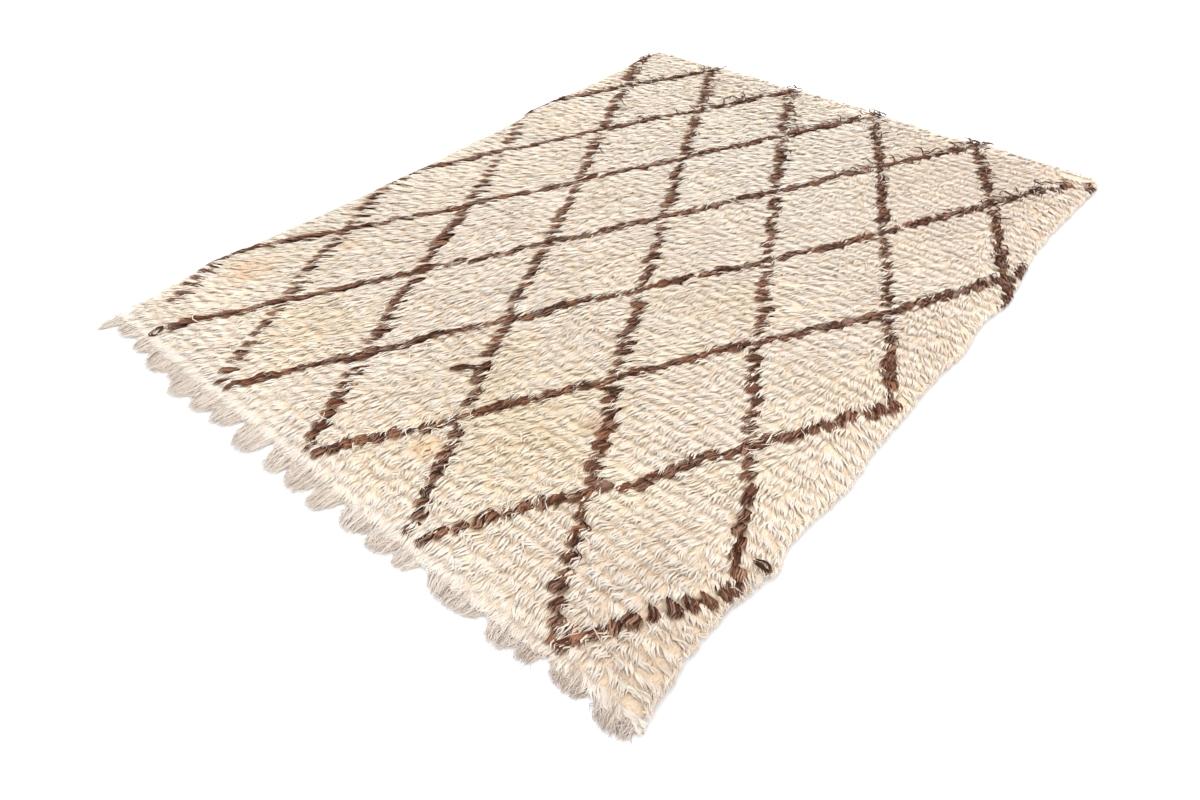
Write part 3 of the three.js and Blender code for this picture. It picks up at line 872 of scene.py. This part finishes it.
def lock_mesh(name, locks, top, softness=SOFTNESS, flatness=FLATNESS):
    """One joined mesh of closed three-sided locks, each drawn out to a point, from their middle lines."""
    middle, radius, girth = locks["middle"], locks["radius"], locks["girth"]
    soft = unit(locks["soft"])
    count, stations = middle.shape[:2]
    rings = stations - 1
    roll = rng.normal(-math.pi / 2, LOCK_ROLL, count)
    start = rng.uniform(0, GRAIN_RANGE, count)
    points = np.empty((count, rings * 3 + 1, 3))
    normals = np.empty_like(points)
    grain = np.empty_like(points)
    for k in range(rings):
        ahead = unit(middle[:, k + 1] - middle[:, max(k - 1, 0)])
        side = unit(np.cross(ahead, (0, 0, 1)))
        over = np.cross(ahead, side)
        past_edge = inward(middle[:, k, 0], middle[:, k, 1]) < 0
        for j in range(3):
            angle = roll + 2 * math.pi * j / 3
            wide = (flatness * radius * girth[k] * np.cos(angle))[:, None]
            tall = (radius / flatness * girth[k] * np.sin(angle))[:, None]
            own = side * np.cos(angle)[:, None] + over * np.sin(angle)[:, None]
            points[:, 3 * k + j] = middle[:, k] + side * wide + over * tall
            evened = np.where(past_edge & (own[:, 2] < 0), UNDER_SOFTNESS, softness)[:, None]
            normals[:, 3 * k + j] = own * (1 - evened) + soft[:, k] * evened
            grain[:, 3 * k + j] = grain_at(start, j, k)
    points[:, -1] = middle[:, -1]
    normals[:, -1] = ahead * (1 - softness) + soft[:, -1] * softness
    grain[:, -1] = grain_at(start, 1, rings)
    corners = points.shape[1]
    faces = (lock_faces(rings)[None] + (np.arange(count) * corners)[:, None, None]).reshape(-1, 3)
    mesh = bpy.data.meshes.new(name)
    mesh.from_pydata(points.reshape(-1, 3), [], faces)
    mesh.shade_smooth()
    mesh.normals_split_custom_set_from_vertices(unit(normals).reshape(-1, 3))
    # How much painted shade each corner gets, by how far it lies below the topmost locks
    painted_shade_depth = how_buried(middle, top)
    painted_shade_depth = np.concatenate([np.repeat(painted_shade_depth[:, :-1], 3, axis=1), painted_shade_depth[:, -1:]], axis=1)
    write_attribute(mesh, "painted_shade_depth", painted_shade_depth.ravel())
    write_attribute(mesh, "tone", np.repeat(locks["tone"], corners))
    write_attribute(mesh, "tint", np.repeat(locks["tint"], corners))
    write_attribute(mesh, "grain", grain.reshape(-1, 3))
    return linked(name, mesh)


def linked(name, mesh):
    piece = bpy.data.objects.new(name, mesh)
    bpy.context.collection.objects.link(piece)
    return piece


def write_attribute(mesh, name, values):
    kind, field = ("FLOAT", "value") if values.ndim == 1 else ("FLOAT_VECTOR", "vector")
    mesh.attributes.new(name, kind, "POINT").data.foreach_set(field, values.astype(np.float32).ravel())


def lobe_place(lobe, across, share):
    """A place in a lobe of the fringe, from its root to its rounded end, and the height of its wool."""
    start, stop, reach, sweep = lobe
    half, heart = (stop - start) / 2, (start + stop) / 2
    rounded = 1 - LOBE_ROUND * np.minimum(np.abs(across), 1) ** LOBE_ROUND_CURVE
    shrink = 1 + LOBE_BELLY * np.sin(math.pi * share) - LOBE_GATHER * share**3
    x = heart + half * across * shrink + sweep * share**LOBE_SWEEP_CURVE
    y = wall_near(heart + half * across) + LOBE_ROOT - (reach + LOBE_ROOT) * rounded * share
    z = LOBE_LOW + LOBE_THICK * (1 - LOBE_CROWN * across**2) * (1 - LOBE_THINNER * share**3)
    return x, y, z


def packed_lobe(shape, lobe):
    """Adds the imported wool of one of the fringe's lobes to a bmesh."""

    def place(u, v):
        return lobe_place(lobe, FRINGE_BED_ACROSS * 2 * u - FRINGE_BED_ACROSS, FRINGE_BED_ALONG * v)

    closed_slab(shape, *FRINGE_BED_STEPS, place, FRINGE_LOW)


def fringe_bed():
    """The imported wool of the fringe's lobes, under their strands."""
    shape = bmesh.new()
    for lobe in LOBES:
        packed_lobe(shape, lobe)
    return finished("fringe_bed", shape)


def lobe_strands(lobe):
    """Middle lines, soft normals, radii, tones and tints of the strands of one of the fringe's lobes."""
    start, stop = lobe[:2]
    count = int((stop - start) / FRINGE_PITCH)
    spread = np.interp((start + stop) / 2, *FRINGE_SPREAD)
    across = scattered(spread, count)
    layer = rng.uniform(0, 1, count)
    end = STRAND_END - STRAND_SHORTER * rng.uniform(0, 1, count) ** 2
    curl = rng.normal(0, STRAND_CURL, count) * MM
    phase = rng.uniform(0, 2 * math.pi, count)
    middle = np.empty((count, STRAND_STATIONS, 3))
    soft = np.empty_like(middle)
    for k, share in enumerate(np.linspace(0, 1, STRAND_STATIONS)):
        x, y, z = lobe_place(lobe, across, share * end)
        x = x + curl * swayed(share, STRAND_TURNS, phase)
        z = z + (STRAND_RISE[0] + STRAND_RISE[1] * layer) * MM
        middle[:, k] = np.stack([x, y, np.maximum(z, STRAND_LOW)], 1)
        ahead = np.full(count, STRAND_LEAN[1] * share)
        soft[:, k] = np.stack([STRAND_LEAN[0] * across, ahead, np.ones(count)], 1)
    # The top strands are painted lighter, as painted light
    tone = FRINGE_TONE + FRINGE_TOP_PAINTED_LIGHTER * layer + rng.normal(0, FRINGE_TONE_SPREAD, count)
    tone = tone - FRINGE_DARKER * (rng.uniform(size=count) < FRINGE_DARK)
    radius = FRINGE_RADIUS * rng.uniform(*FRINGE_GIRTHS, count)
    return middle, soft, radius, np.clip(tone, 0, 1), rng.uniform(0, 1, count)


def fringe_locks():
    """The strands of the fringe, gathered lobe by lobe, level on the floor."""
    kept = [np.concatenate(column) for column in zip(*(lobe_strands(lobe) for lobe in LOBES))]
    return {**dict(zip(("middle", "soft", "radius", "tone", "tint"), kept)), "girth": FRINGE_GIRTH}


def stray_locks(places, turns, lengths, lifts, bows, tones, radius):
    """Thin single locks that lie on the pile or stand a little out of it."""
    count = len(places)
    ahead, aside = headings(turns)
    wave = rng.uniform(*STRAY_WAVES, count) * lengths
    phase = rng.uniform(0, 2 * math.pi, count)
    middle = np.empty((count, STRAND_STATIONS, 3))
    for k, share in enumerate(np.linspace(0, 1, STRAND_STATIONS)):
        sideways = wave * swayed(share, STRAY_TURNS, phase) + bows * lengths * math.sin(math.pi * share)
        spot = places + ahead * (lengths * share)[:, None] + aside * sideways[:, None]
        px, py = held_at_edge(spot[:, 0], spot[:, 1], np.ones(count))
        height = pile_height(px, py) - STRAY_SUNK + lifts * math.sin(STRAY_ARCH * math.pi * share)
        middle[:, k] = np.stack([px, py, np.maximum(height, STRAY_LOW)], 1)
    return {
        "middle": middle,
        "soft": np.tile((0.0, 0.0, 1.0), (count, STRAND_STATIONS, 1)),
        "radius": radius * rng.uniform(*STRAY_GIRTHS, count),
        "girth": STRAY_GIRTH,
        "tone": np.clip(tones + rng.normal(0, STRAY_TONE, count), 0, 1),
        "tint": rng.uniform(0, 1, count),
    }


def ivory_strays():
    """Loose ivory strands over the pile, most of them near its lie."""
    places = np.stack([
        rng.uniform(SIDES[:, 1].max(), SIDES[:, 2].min(), IVORY_STRAYS),
        rng.uniform(ENDS[:, 1].max() + STRAY_LENGTH, ENDS[:, 2].min(), IVORY_STRAYS),
    ], 1)
    turns = turn_at(*places.T) + np.radians(rng.normal(0, IVORY_STRAY_TURN, IVORY_STRAYS))
    lengths = STRAY_LENGTH * rng.uniform(*IVORY_STRAY_LENGTHS, IVORY_STRAYS)
    lifts = rng.uniform(0, IVORY_STRAY_LIFT, IVORY_STRAYS) * MM
    bows = rng.normal(0, STRAY_BOW, IVORY_STRAYS)
    return stray_locks(places, turns, lengths, lifts, bows, IVORY_STRAY_TONE, STRAY_RADIUS)


def grown(value, far):
    """A value and how much more it is by the far end, put together by how far there some places are."""
    return value[0] + value[1] * far


def brown_wisps(brown_places):
    """Places, turns, lengths, lifts, bows, tones and radii of brown wisps that stand up by the far end."""
    places = np.repeat(brown_places, BROWN_STRAYS_PER_TUFT, axis=0)
    far = risen(places[:, 1], UPRIGHT_FROM, UPRIGHT_OVER)
    chosen = rng.uniform(size=len(places)) < grown(BROWN_STRAY_CHANCE, far)
    places, far = places[chosen], far[chosen]
    count = len(places)
    turns = turn_at(*places.T) + np.radians(rng.normal(0, grown(BROWN_STRAY_TURN, far)))
    lengths = STRAY_LENGTH * rng.uniform(*BROWN_STRAY_LENGTHS, count)
    lifts = grown(BROWN_STRAY_LIFT, far * np.sqrt(rng.uniform(0, 1, count))) * MM
    bows = rng.normal(0, STRAY_BOW, count) * grown(BROWN_STRAY_BOW, far)
    radii = BROWN_STRAY_RADIUS * grown(BROWN_STRAY_GIRTH, far)
    return places, turns, lengths, lifts, bows, np.full(count, BROWN_STRAY_TONE), radii


def laid_locks(x0, y0, x1, y1, bow, strands):
    """The same for the strands of a brown lock that is laid across the pile."""
    places = np.array((x0, y0)) + rng.normal(0, LAID_OFF, (strands, 2))
    turns = math.atan2(x1 - x0, y0 - y1) + rng.normal(0, LAID_TURN, strands)
    lengths = math.hypot(x1 - x0, y1 - y0) * rng.uniform(*LAID_LENGTHS, strands)
    bows = bow + rng.normal(0, LAID_BOW, strands)
    lifts, tones, radii = np.tile([[LAID_LIFT], [LAID_TONE], [BROWN_STRAY_RADIUS]], strands)
    return places, turns, lengths, lifts, bows, tones, radii


def brown_strays(brown_places):
    """Loose brown strands: wisps along the lines, curlier and upright by the far end, and laid locks."""
    kinds = [brown_wisps(brown_places), *(laid_locks(*laid) for laid in LAID_LOCKS)]
    return stray_locks(*(np.concatenate(column) for column in zip(*kinds)))


def to_frame(piece):
    """Moves a mesh from the outline's own places to the frame's."""
    piece.data.transform(Matrix.Translation((*FOOTPRINT_SHIFT, 0)))


def open_edges(verts):
    """The open edges that some corners of a bmesh are on, each once and always in the same order."""
    return list(dict.fromkeys(edge for vert in verts for edge in vert.link_edges if edge.is_boundary))


def closed_slab(shape, across, along, place, low):
    """Adds a slab to a bmesh: its top follows a rule of place over a unit square, and its base is flat."""
    made = bmesh.ops.create_grid(shape, x_segments=across, y_segments=along, size=1)["verts"]
    u, v = (np.array([vert.co[:2] for vert in made]).T + 1) / 2
    for vert, spot in zip(made, zip(*place(u, v))):
        vert.co = spot
    walls = bmesh.ops.extrude_edge_only(shape, edges=open_edges(made))["geom"]
    base = [item for item in walls if isinstance(item, bmesh.types.BMVert)]
    for vert in base:
        vert.co.z = low
    bmesh.ops.holes_fill(shape, edges=open_edges(base), sides=0)


def finished(name, shape):
    bmesh.ops.recalc_face_normals(shape, faces=shape.faces[:])
    mesh = bpy.data.meshes.new(name)
    shape.to_mesh(mesh)
    shape.free()
    mesh.shade_smooth()
    return linked(name, mesh)


def cloth_slab(name, steps, top_height, low):
    """A closed slab with the cloth's outline, its top at a height given by place and its base flat."""

    def place(u, v):
        x = -1 + 2 * u
        for _ in range(2):  # the sides are placed by the ends and the ends by the sides
            y = wall_near(x) + (wall_far(x) - wall_near(x)) * v
            x = wall_left(y) + (wall_right(y) - wall_left(y)) * u
        return x, y, top_height(x, y)

    shape = bmesh.new()
    closed_slab(shape, *steps, place, low)
    return finished(name, shape)


def pile_bed():
    """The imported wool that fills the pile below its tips."""

    def top(x, y):
        lumps = uneven(x, y, BED_LUMPS) * risen(inward(x, y), 0, SHOULDER)
        return np.maximum(bed_height(x, y) + lumps, BED_LEAST)

    return cloth_slab("pile_bed", BED_STEPS, top, BED_LOW)


def woven_back():
    """The woven cloth that carries the knots."""

    def top(x, y):
        return np.full_like(x, CLOTH_TOP)

    return cloth_slab("woven_back", CLOTH_STEPS, top, CLOTH_LOW)


def mark_brown(mesh, brown_places):
    """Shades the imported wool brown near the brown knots."""
    tree = tree_of(brown_places)
    near = np.array([tree.find((v.co.x, v.co.y, 0))[2] for v in mesh.vertices])
    write_attribute(mesh, "brown", np.clip(BROWN_SPILL - near / BROWN_FADE, 0, 1))


def node_in(tree, kind, **inputs):
    made = tree.nodes.new(kind)
    for key, value in inputs.items():
        made.inputs[key.replace("_", " ")].default_value = value
    return made


def attribute_in(tree, name):
    made = tree.nodes.new("ShaderNodeAttribute")
    made.attribute_name = name
    return made


def mixed(tree, factor, low, high, blend="MIX"):
    """A colour mix between two sockets or shades, returning its output."""
    made = tree.nodes.new("ShaderNodeMix")
    made.data_type = "RGBA"
    made.blend_type = blend
    # The node's sockets for colours come after those for numbers and vectors
    for socket, given in ((made.inputs[0], factor), (made.inputs[6], low), (made.inputs[7], high)):
        if isinstance(given, bpy.types.NodeSocket):
            tree.links.new(given, socket)
        elif isinstance(given, tuple):
            socket.default_value = (*given, 1)
        else:
            socket.default_value = given
    return made.outputs[2]


def add_bump(tree, shader, height, strength, distance):
    """Bumps a shader's surface by a height, this strongly and deeply."""
    bump = node_in(tree, "ShaderNodeBump", Strength=strength, Distance=distance)
    tree.links.new(height, bump.inputs["Height"])
    tree.links.new(bump.outputs["Normal"], shader.inputs["Normal"])


def new_wool(name, sheen):
    material = bpy.data.materials.new(name)
    material.use_nodes = True
    tree = material.node_tree
    shader = tree.nodes["Principled BSDF"]
    shader.inputs["Roughness"].default_value = WOOL_ROUGH
    shader.inputs["Specular IOR Level"].default_value = WOOL_BRIGHT
    shader.inputs["Sheen Weight"].default_value = sheen
    shader.inputs["Sheen Roughness"].default_value = SHEEN_ROUGH
    return material, tree, shader


def place_in(tree):
    """The piece's own places, moved about a little, so that what is shaded by place ends raggedly."""
    coordinates = tree.nodes.new("ShaderNodeTexCoord")
    ragged = node_in(tree, "ShaderNodeTexNoise", Scale=RAGGED_SCALE, Detail=NOISE_DETAIL)
    tree.links.new(coordinates.outputs["Object"], ragged.inputs["Vector"])
    moved = tree.nodes.new("ShaderNodeVectorMath")
    moved.operation = "MULTIPLY_ADD"
    moved.inputs[1].default_value = (RAGGED, RAGGED, 0)
    tree.links.new(ragged.outputs["Color"], moved.inputs[0])
    tree.links.new(coordinates.outputs["Object"], moved.inputs[2])
    return moved.outputs["Vector"]


def between_values(tree, socket, low, high, low_to=0.0, high_to=1.0):
    """A value mapped from one range to another, clamped."""
    made = node_in(tree, "ShaderNodeMapRange", From_Min=low, From_Max=high, To_Min=low_to, To_Max=high_to)
    tree.links.new(socket, made.inputs["Value"])
    return made.outputs["Result"]


def stains_and_painted_light(tree, place, shade, streak=None):
    """The wool's shade with the rug's own stains, tinted places and greyer corner, and painted shade and
    light over wide parts of it, lock by lock if streaked.
    """
    for x, y, radius, place_shade, share in STAINS_AND_PAINTED_LIGHT:
        away = tree.nodes.new("ShaderNodeVectorMath")
        away.operation = "DISTANCE"
        middle = (x + FOOTPRINT_SHIFT[0] + RAGGED / 2, y + FOOTPRINT_SHIFT[1] + RAGGED / 2, PILE_TOP)
        away.inputs[1].default_value = middle
        tree.links.new(place, away.inputs[0])
        amount = between_values(tree, away.outputs["Value"], radius, MARK_CORE * radius, 0.0, share)
        if streak:
            amount = calculated(tree, "MULTIPLY", amount, streak)
        shade = mixed(tree, amount, shade, place_shade, "MULTIPLY")
    return shade


def tone_ramp(tree, shades):
    """The shade of each lock by its tone."""
    ramp = tree.nodes.new("ShaderNodeValToRGB")
    ramp.color_ramp.elements.remove(ramp.color_ramp.elements[1])
    for i, (place, shade) in enumerate(shades):
        element = ramp.color_ramp.elements[0] if i == 0 else ramp.color_ramp.elements.new(place)
        element.position = place
        element.color = (*shade, 1)
    tree.links.new(attribute_in(tree, "tone").outputs["Fac"], ramp.inputs["Fac"])
    return ramp.outputs["Color"]


def wool_material(
    name, shades, deep, patch, tints, sheen=LOCK_SHEEN, stains_and_light=True, pales=False, streak_shade=STREAK_SHADE
):
    """Wool locks: a shade for each lock from its tone and tint, another painted on deep in the pile as
    painted shade, and others in patches.

    Where asked for, the rug's stains, tinted places and painted shade and light show in it, and it pales
    towards the fringe. Its fibres streak it with painted shade between them, and bump it.
    """
    material, tree, shader = new_wool(name, sheen)
    ramp = tone_ramp(tree, shades)
    place = place_in(tree)
    patches = node_in(tree, "ShaderNodeTexNoise", Scale=PATCH_SCALE, Detail=NOISE_DETAIL)
    tree.links.new(place, patches.inputs["Vector"])
    patchy = between_values(tree, patches.outputs["Fac"], *PATCH_VALUES)
    warm = mixed(tree, patchy, ramp, patch)
    # Painted shade: locks below the topmost ones take the darker, warmer shade
    shade = mixed(tree, attribute_in(tree, "painted_shade_depth").outputs["Fac"], warm, deep)
    tint = mixed(tree, attribute_in(tree, "tint").outputs["Fac"], *tints)
    shade = mixed(tree, 1.0, shade, tint, "MULTIPLY")
    if stains_and_light:
        streak = between_values(tree, attribute_in(tree, "tint").outputs["Fac"], *MARK_STREAKS)
        shade = stains_and_painted_light(tree, place, shade, streak)
    if pales:
        apart = tree.nodes.new("ShaderNodeSeparateXYZ")
        tree.links.new(place, apart.inputs["Vector"])
        paler = between_values(tree, apart.outputs["Y"], *PALER_TO_FRINGE)
        shade = mixed(tree, paler, shade, PALER_WOOL)
    # The fibres streak the wool with painted shade in the lines between them
    fibres = node_in(tree, "ShaderNodeTexNoise", Scale=FIBRE_SCALE, Detail=NOISE_DETAIL)
    tree.links.new(attribute_in(tree, "grain").outputs["Vector"], fibres.inputs["Vector"])
    on_fibres = between_values(tree, fibres.outputs["Fac"], *FIBRE_VALUES)
    streaks = mixed(tree, on_fibres, streak_shade, NO_SHADE)
    tree.links.new(mixed(tree, 1.0, shade, streaks, "MULTIPLY"), shader.inputs["Base Color"])
    add_bump(tree, shader, fibres.outputs["Fac"], *LOCK_BUMP)
    return material


def bed_material(name, wool_shade, brown_shade=None):
    """Packed wool, streaked down the lie of the pile; with a second shade, brown along the lattice."""
    material, tree, shader = new_wool(name, PACKED_SHEEN)
    coordinates = tree.nodes.new("ShaderNodeTexCoord")
    stretch = node_in(tree, "ShaderNodeMapping", Scale=PACKED_STRETCH)
    tree.links.new(coordinates.outputs["Object"], stretch.inputs["Vector"])
    fibres = node_in(tree, "ShaderNodeTexNoise", Scale=PACKED_SCALE, Detail=NOISE_DETAIL)
    tree.links.new(stretch.outputs["Vector"], fibres.inputs["Vector"])
    streaks = between_values(tree, fibres.outputs["Fac"], *PACKED_VALUES)
    shade = mixed(tree, 1.0, wool_shade, streaks, "MULTIPLY")
    shade = stains_and_painted_light(tree, place_in(tree), shade)
    if brown_shade:
        shade = mixed(tree, attribute_in(tree, "brown").outputs["Fac"], shade, brown_shade)
    tree.links.new(shade, shader.inputs["Base Color"])
    add_bump(tree, shader, fibres.outputs["Fac"], *PACKED_BUMP)
    return material


def calculated(tree, operation, *given):
    """A value worked out from sockets or numbers."""
    made = tree.nodes.new("ShaderNodeMath")
    made.operation = operation
    for socket, value in zip(made.inputs, given):
        if isinstance(value, bpy.types.NodeSocket):
            tree.links.new(value, socket)
        else:
            socket.default_value = value
    return made.outputs["Value"]


def line_on_back(tree, way, over, along):
    """One where a line of the lattice shows on the back, from places counted in diamonds."""
    line_width = BACK_LINE_KNOTS * KNOT_PITCH / (2 * HALF_DIAMOND[0])
    away = calculated(tree, "PINGPONG", calculated(tree, way, over, along), 0.5)
    return calculated(tree, "LESS_THAN", away, line_width)


def diamonds_from(tree, place, start, size):
    """How many diamonds of a size a place is from a start."""
    return calculated(tree, "DIVIDE", calculated(tree, "SUBTRACT", place, start), size)


def woven_material():
    """The back: plain weave with the rows of knots showing through, brown where the lattice's lines are."""
    material, tree, shader = new_wool("woven_back", PACKED_SHEEN)
    coordinates = tree.nodes.new("ShaderNodeTexCoord")
    apart = tree.nodes.new("ShaderNodeSeparateXYZ")
    tree.links.new(coordinates.outputs["Object"], apart.inputs["Vector"])
    x, y = apart.outputs["X"], apart.outputs["Y"]
    knot_x = calculated(tree, "SNAP", x, KNOT_PITCH)
    row_y = calculated(tree, "SNAP", y, ROW_PITCH)
    start_x, start_y = (sum(moved) for moved in zip(CROSSING, FOOTPRINT_SHIFT, LATTICE_SHIFT))
    over = diamonds_from(tree, knot_x, start_x, 2 * HALF_DIAMOND[0])
    along = diamonds_from(tree, row_y, start_y, 2 * HALF_DIAMOND[1])
    lines = [line_on_back(tree, way, over, along) for way in ("ADD", "SUBTRACT")]
    brown = calculated(tree, "MAXIMUM", *lines)
    from_row = calculated(tree, "PINGPONG", calculated(tree, "DIVIDE", y, ROW_PITCH), 0.5)
    in_row = between_values(tree, from_row, *ROW_VALUES)
    knots_shade = mixed(tree, brown, BACK_IVORY, BACK_BROWN)
    shade = mixed(tree, in_row, BACK_YARN, knots_shade)
    turns = [calculated(tree, "MULTIPLY", way, 2 * math.pi / WEAVE_PITCH) for way in (x, y)]
    weave = calculated(tree, "MULTIPLY", *(calculated(tree, "SINE", turn) for turn in turns))
    shaded = between_values(tree, weave, *WEAVE_VALUES)
    tree.links.new(mixed(tree, 1.0, shade, shaded, "MULTIPLY"), shader.inputs["Base Color"])
    add_bump(tree, shader, weave, *WEAVE_BUMP)
    return material


def floor():
    bpy.ops.mesh.primitive_plane_add(size=FLOOR_SIZE)
    plane = bpy.context.object
    plane.name = "floor"
    material = bpy.data.materials.new("pale_floor")
    material.use_nodes = True
    shader = material.node_tree.nodes["Principled BSDF"]
    shader.inputs["Base Color"].default_value = FLOOR_SHADE
    shader.inputs["Roughness"].default_value = FLOOR_ROUGH
    plane.data.materials.append(material)


def camera():
    data = bpy.data.cameras.new("camera")
    data.lens = LENS_MM
    data.sensor_width = SENSOR_MM
    eye = bpy.data.objects.new("camera", data)
    turn = Matrix.Rotation(CAMERA_HEADING, 4, "Z")
    tilt = Matrix.Rotation(math.pi / 2 - CAMERA_DOWN, 4, "X")
    roll = Matrix.Rotation(CAMERA_ROLL, 4, "Z")
    eye.matrix_world = Matrix.Translation(CAMERA_PLACE) @ turn @ tilt @ roll
    bpy.context.collection.objects.link(eye)
    bpy.context.scene.camera = eye


def area_light(name, place, size, watts):
    data = bpy.data.lights.new(name, "AREA")
    data.shape = "DISK"
    data.size = size
    data.energy = watts
    lamp = bpy.data.objects.new(name, data)
    lamp.location = place
    lamp.rotation_euler = (-Vector(place)).to_track_quat("-Z", "Y").to_euler()
    bpy.context.collection.objects.link(lamp)


def lights():
    world = bpy.data.worlds.new("studio")
    world.use_nodes = True
    world.node_tree.nodes["Background"].inputs["Color"].default_value = STUDIO_SHADE
    world.node_tree.nodes["Background"].inputs["Strength"].default_value = STUDIO_STRENGTH
    bpy.context.scene.world = world
    area_light("key", KEY_PLACE, KEY_SIZE, KEY_WATTS)


def dressed(piece, material):
    piece.data.materials.append(material)
    return piece


def single_strands(name, locks, top, material):
    """A dressed piece of thin strands that don't lie in tufts."""
    return dressed(lock_mesh(name, locks, top, SINGLE_SOFTNESS, SINGLE_FLATNESS), material)


def picked(made, which):
    """Some of the tufts, by their places in the lists."""
    return {name: values[which] for name, values in made.items()}


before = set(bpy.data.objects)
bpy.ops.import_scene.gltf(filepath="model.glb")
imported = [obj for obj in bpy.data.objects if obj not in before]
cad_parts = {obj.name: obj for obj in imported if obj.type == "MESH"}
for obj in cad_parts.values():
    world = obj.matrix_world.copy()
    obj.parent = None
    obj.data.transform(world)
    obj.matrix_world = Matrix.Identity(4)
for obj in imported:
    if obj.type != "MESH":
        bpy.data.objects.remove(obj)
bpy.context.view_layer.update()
bpy.context.scene.view_settings.view_transform = "Standard"
camera()
lights()
floor()

ivory_wool = wool_material("ivory_wool", IVORY_SHADES, IVORY_PAINTED_SHADE, IVORY_PATCH, IVORY_TINTS, pales=True)
brown_wool = wool_material(
    "brown_wool",
    BROWN_SHADES,
    BROWN_PAINTED_SHADE,
    BROWN_PATCH,
    BROWN_TINTS,
    sheen=0.0,
    stains_and_light=False,
    streak_shade=BROWN_STREAK_SHADE,
)
fringe_wool = wool_material("fringe_wool", FRINGE_SHADES, FRINGE_PAINTED_SHADE, FRINGE_PATCH, FRINGE_TINTS)
# The packed wool is painted in shaded colours, as painted shade
packed_wool = bed_material("packed_wool", PACKED_IVORY_SHADED, PACKED_BROWN_SHADED)
fringe_packed = bed_material("fringe_packed", PACKED_FRINGE_SHADED)

inner_tufts = tufts()
outer_tufts = rim_tufts(inner_tufts)
joined_tufts = {name: np.concatenate([inner_tufts[name], outer_tufts[name]]) for name in inner_tufts}
every_tuft = with_habit(joined_tufts)
ivory_tufts = picked(every_tuft, ~every_tuft["brown"])
brown_tufts = picked(every_tuft, every_tuft["brown"])
half_way = len(ivory_tufts["size"]) // 2
ivory_near = picked(ivory_tufts, slice(half_way))
ivory_far = picked(ivory_tufts, slice(half_way, None))
layers = {
    "ivory_outer_locks_near": tuft_locks(ivory_near, OUTER_LOCK, OUTER_PER_KNOT),
    "ivory_inner_locks_near": tuft_locks(ivory_near, INNER_LOCK, INNER_PER_KNOT, INNER_SUNK),
    "ivory_outer_locks_far": tuft_locks(ivory_far, OUTER_LOCK, OUTER_PER_KNOT),
    "ivory_inner_locks_far": tuft_locks(ivory_far, INNER_LOCK, INNER_PER_KNOT, INNER_SUNK),
    "brown_outer_locks": tuft_locks(brown_tufts, OUTER_LOCK, BROWN_OUTER_PER_KNOT),
    "brown_inner_locks": tuft_locks(brown_tufts, INNER_LOCK, BROWN_INNER_PER_KNOT, INNER_SUNK),
}
fringe_layer = fringe_locks()
top = top_of_wool([*layers.values(), fringe_layer])
pile = []
for name, locks in layers.items():
    wool, slot = (brown_wool, "brown_wool") if name.startswith("brown") else (ivory_wool, "ivory_wool")
    pile.append(dressed(lock_mesh(name, locks, top), wool))
pile.append(single_strands("ivory_strays", ivory_strays(), top, ivory_wool))
brown_loose = brown_strays(brown_tufts["heart"])
pile.append(single_strands("brown_strays", brown_loose, top, brown_wool))
bed = dressed(pile_bed(), packed_wool)
mark_brown(bed.data, layers["brown_inner_locks"]["middle"][:, 1, :2])
fringe = single_strands("fringe_locks", fringe_layer, top, fringe_wool)
fringe_base = dressed(fringe_bed(), fringe_packed)
back = dressed(woven_back(), woven_material())

for piece in (*pile, bed, fringe, fringe_base, back):
    to_frame(piece)
    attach(piece, "root")
for piece in (*pile, bed, back):
    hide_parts("rug_pile_body")
for piece in (fringe, fringe_base):
    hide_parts("rug_end_fringe")
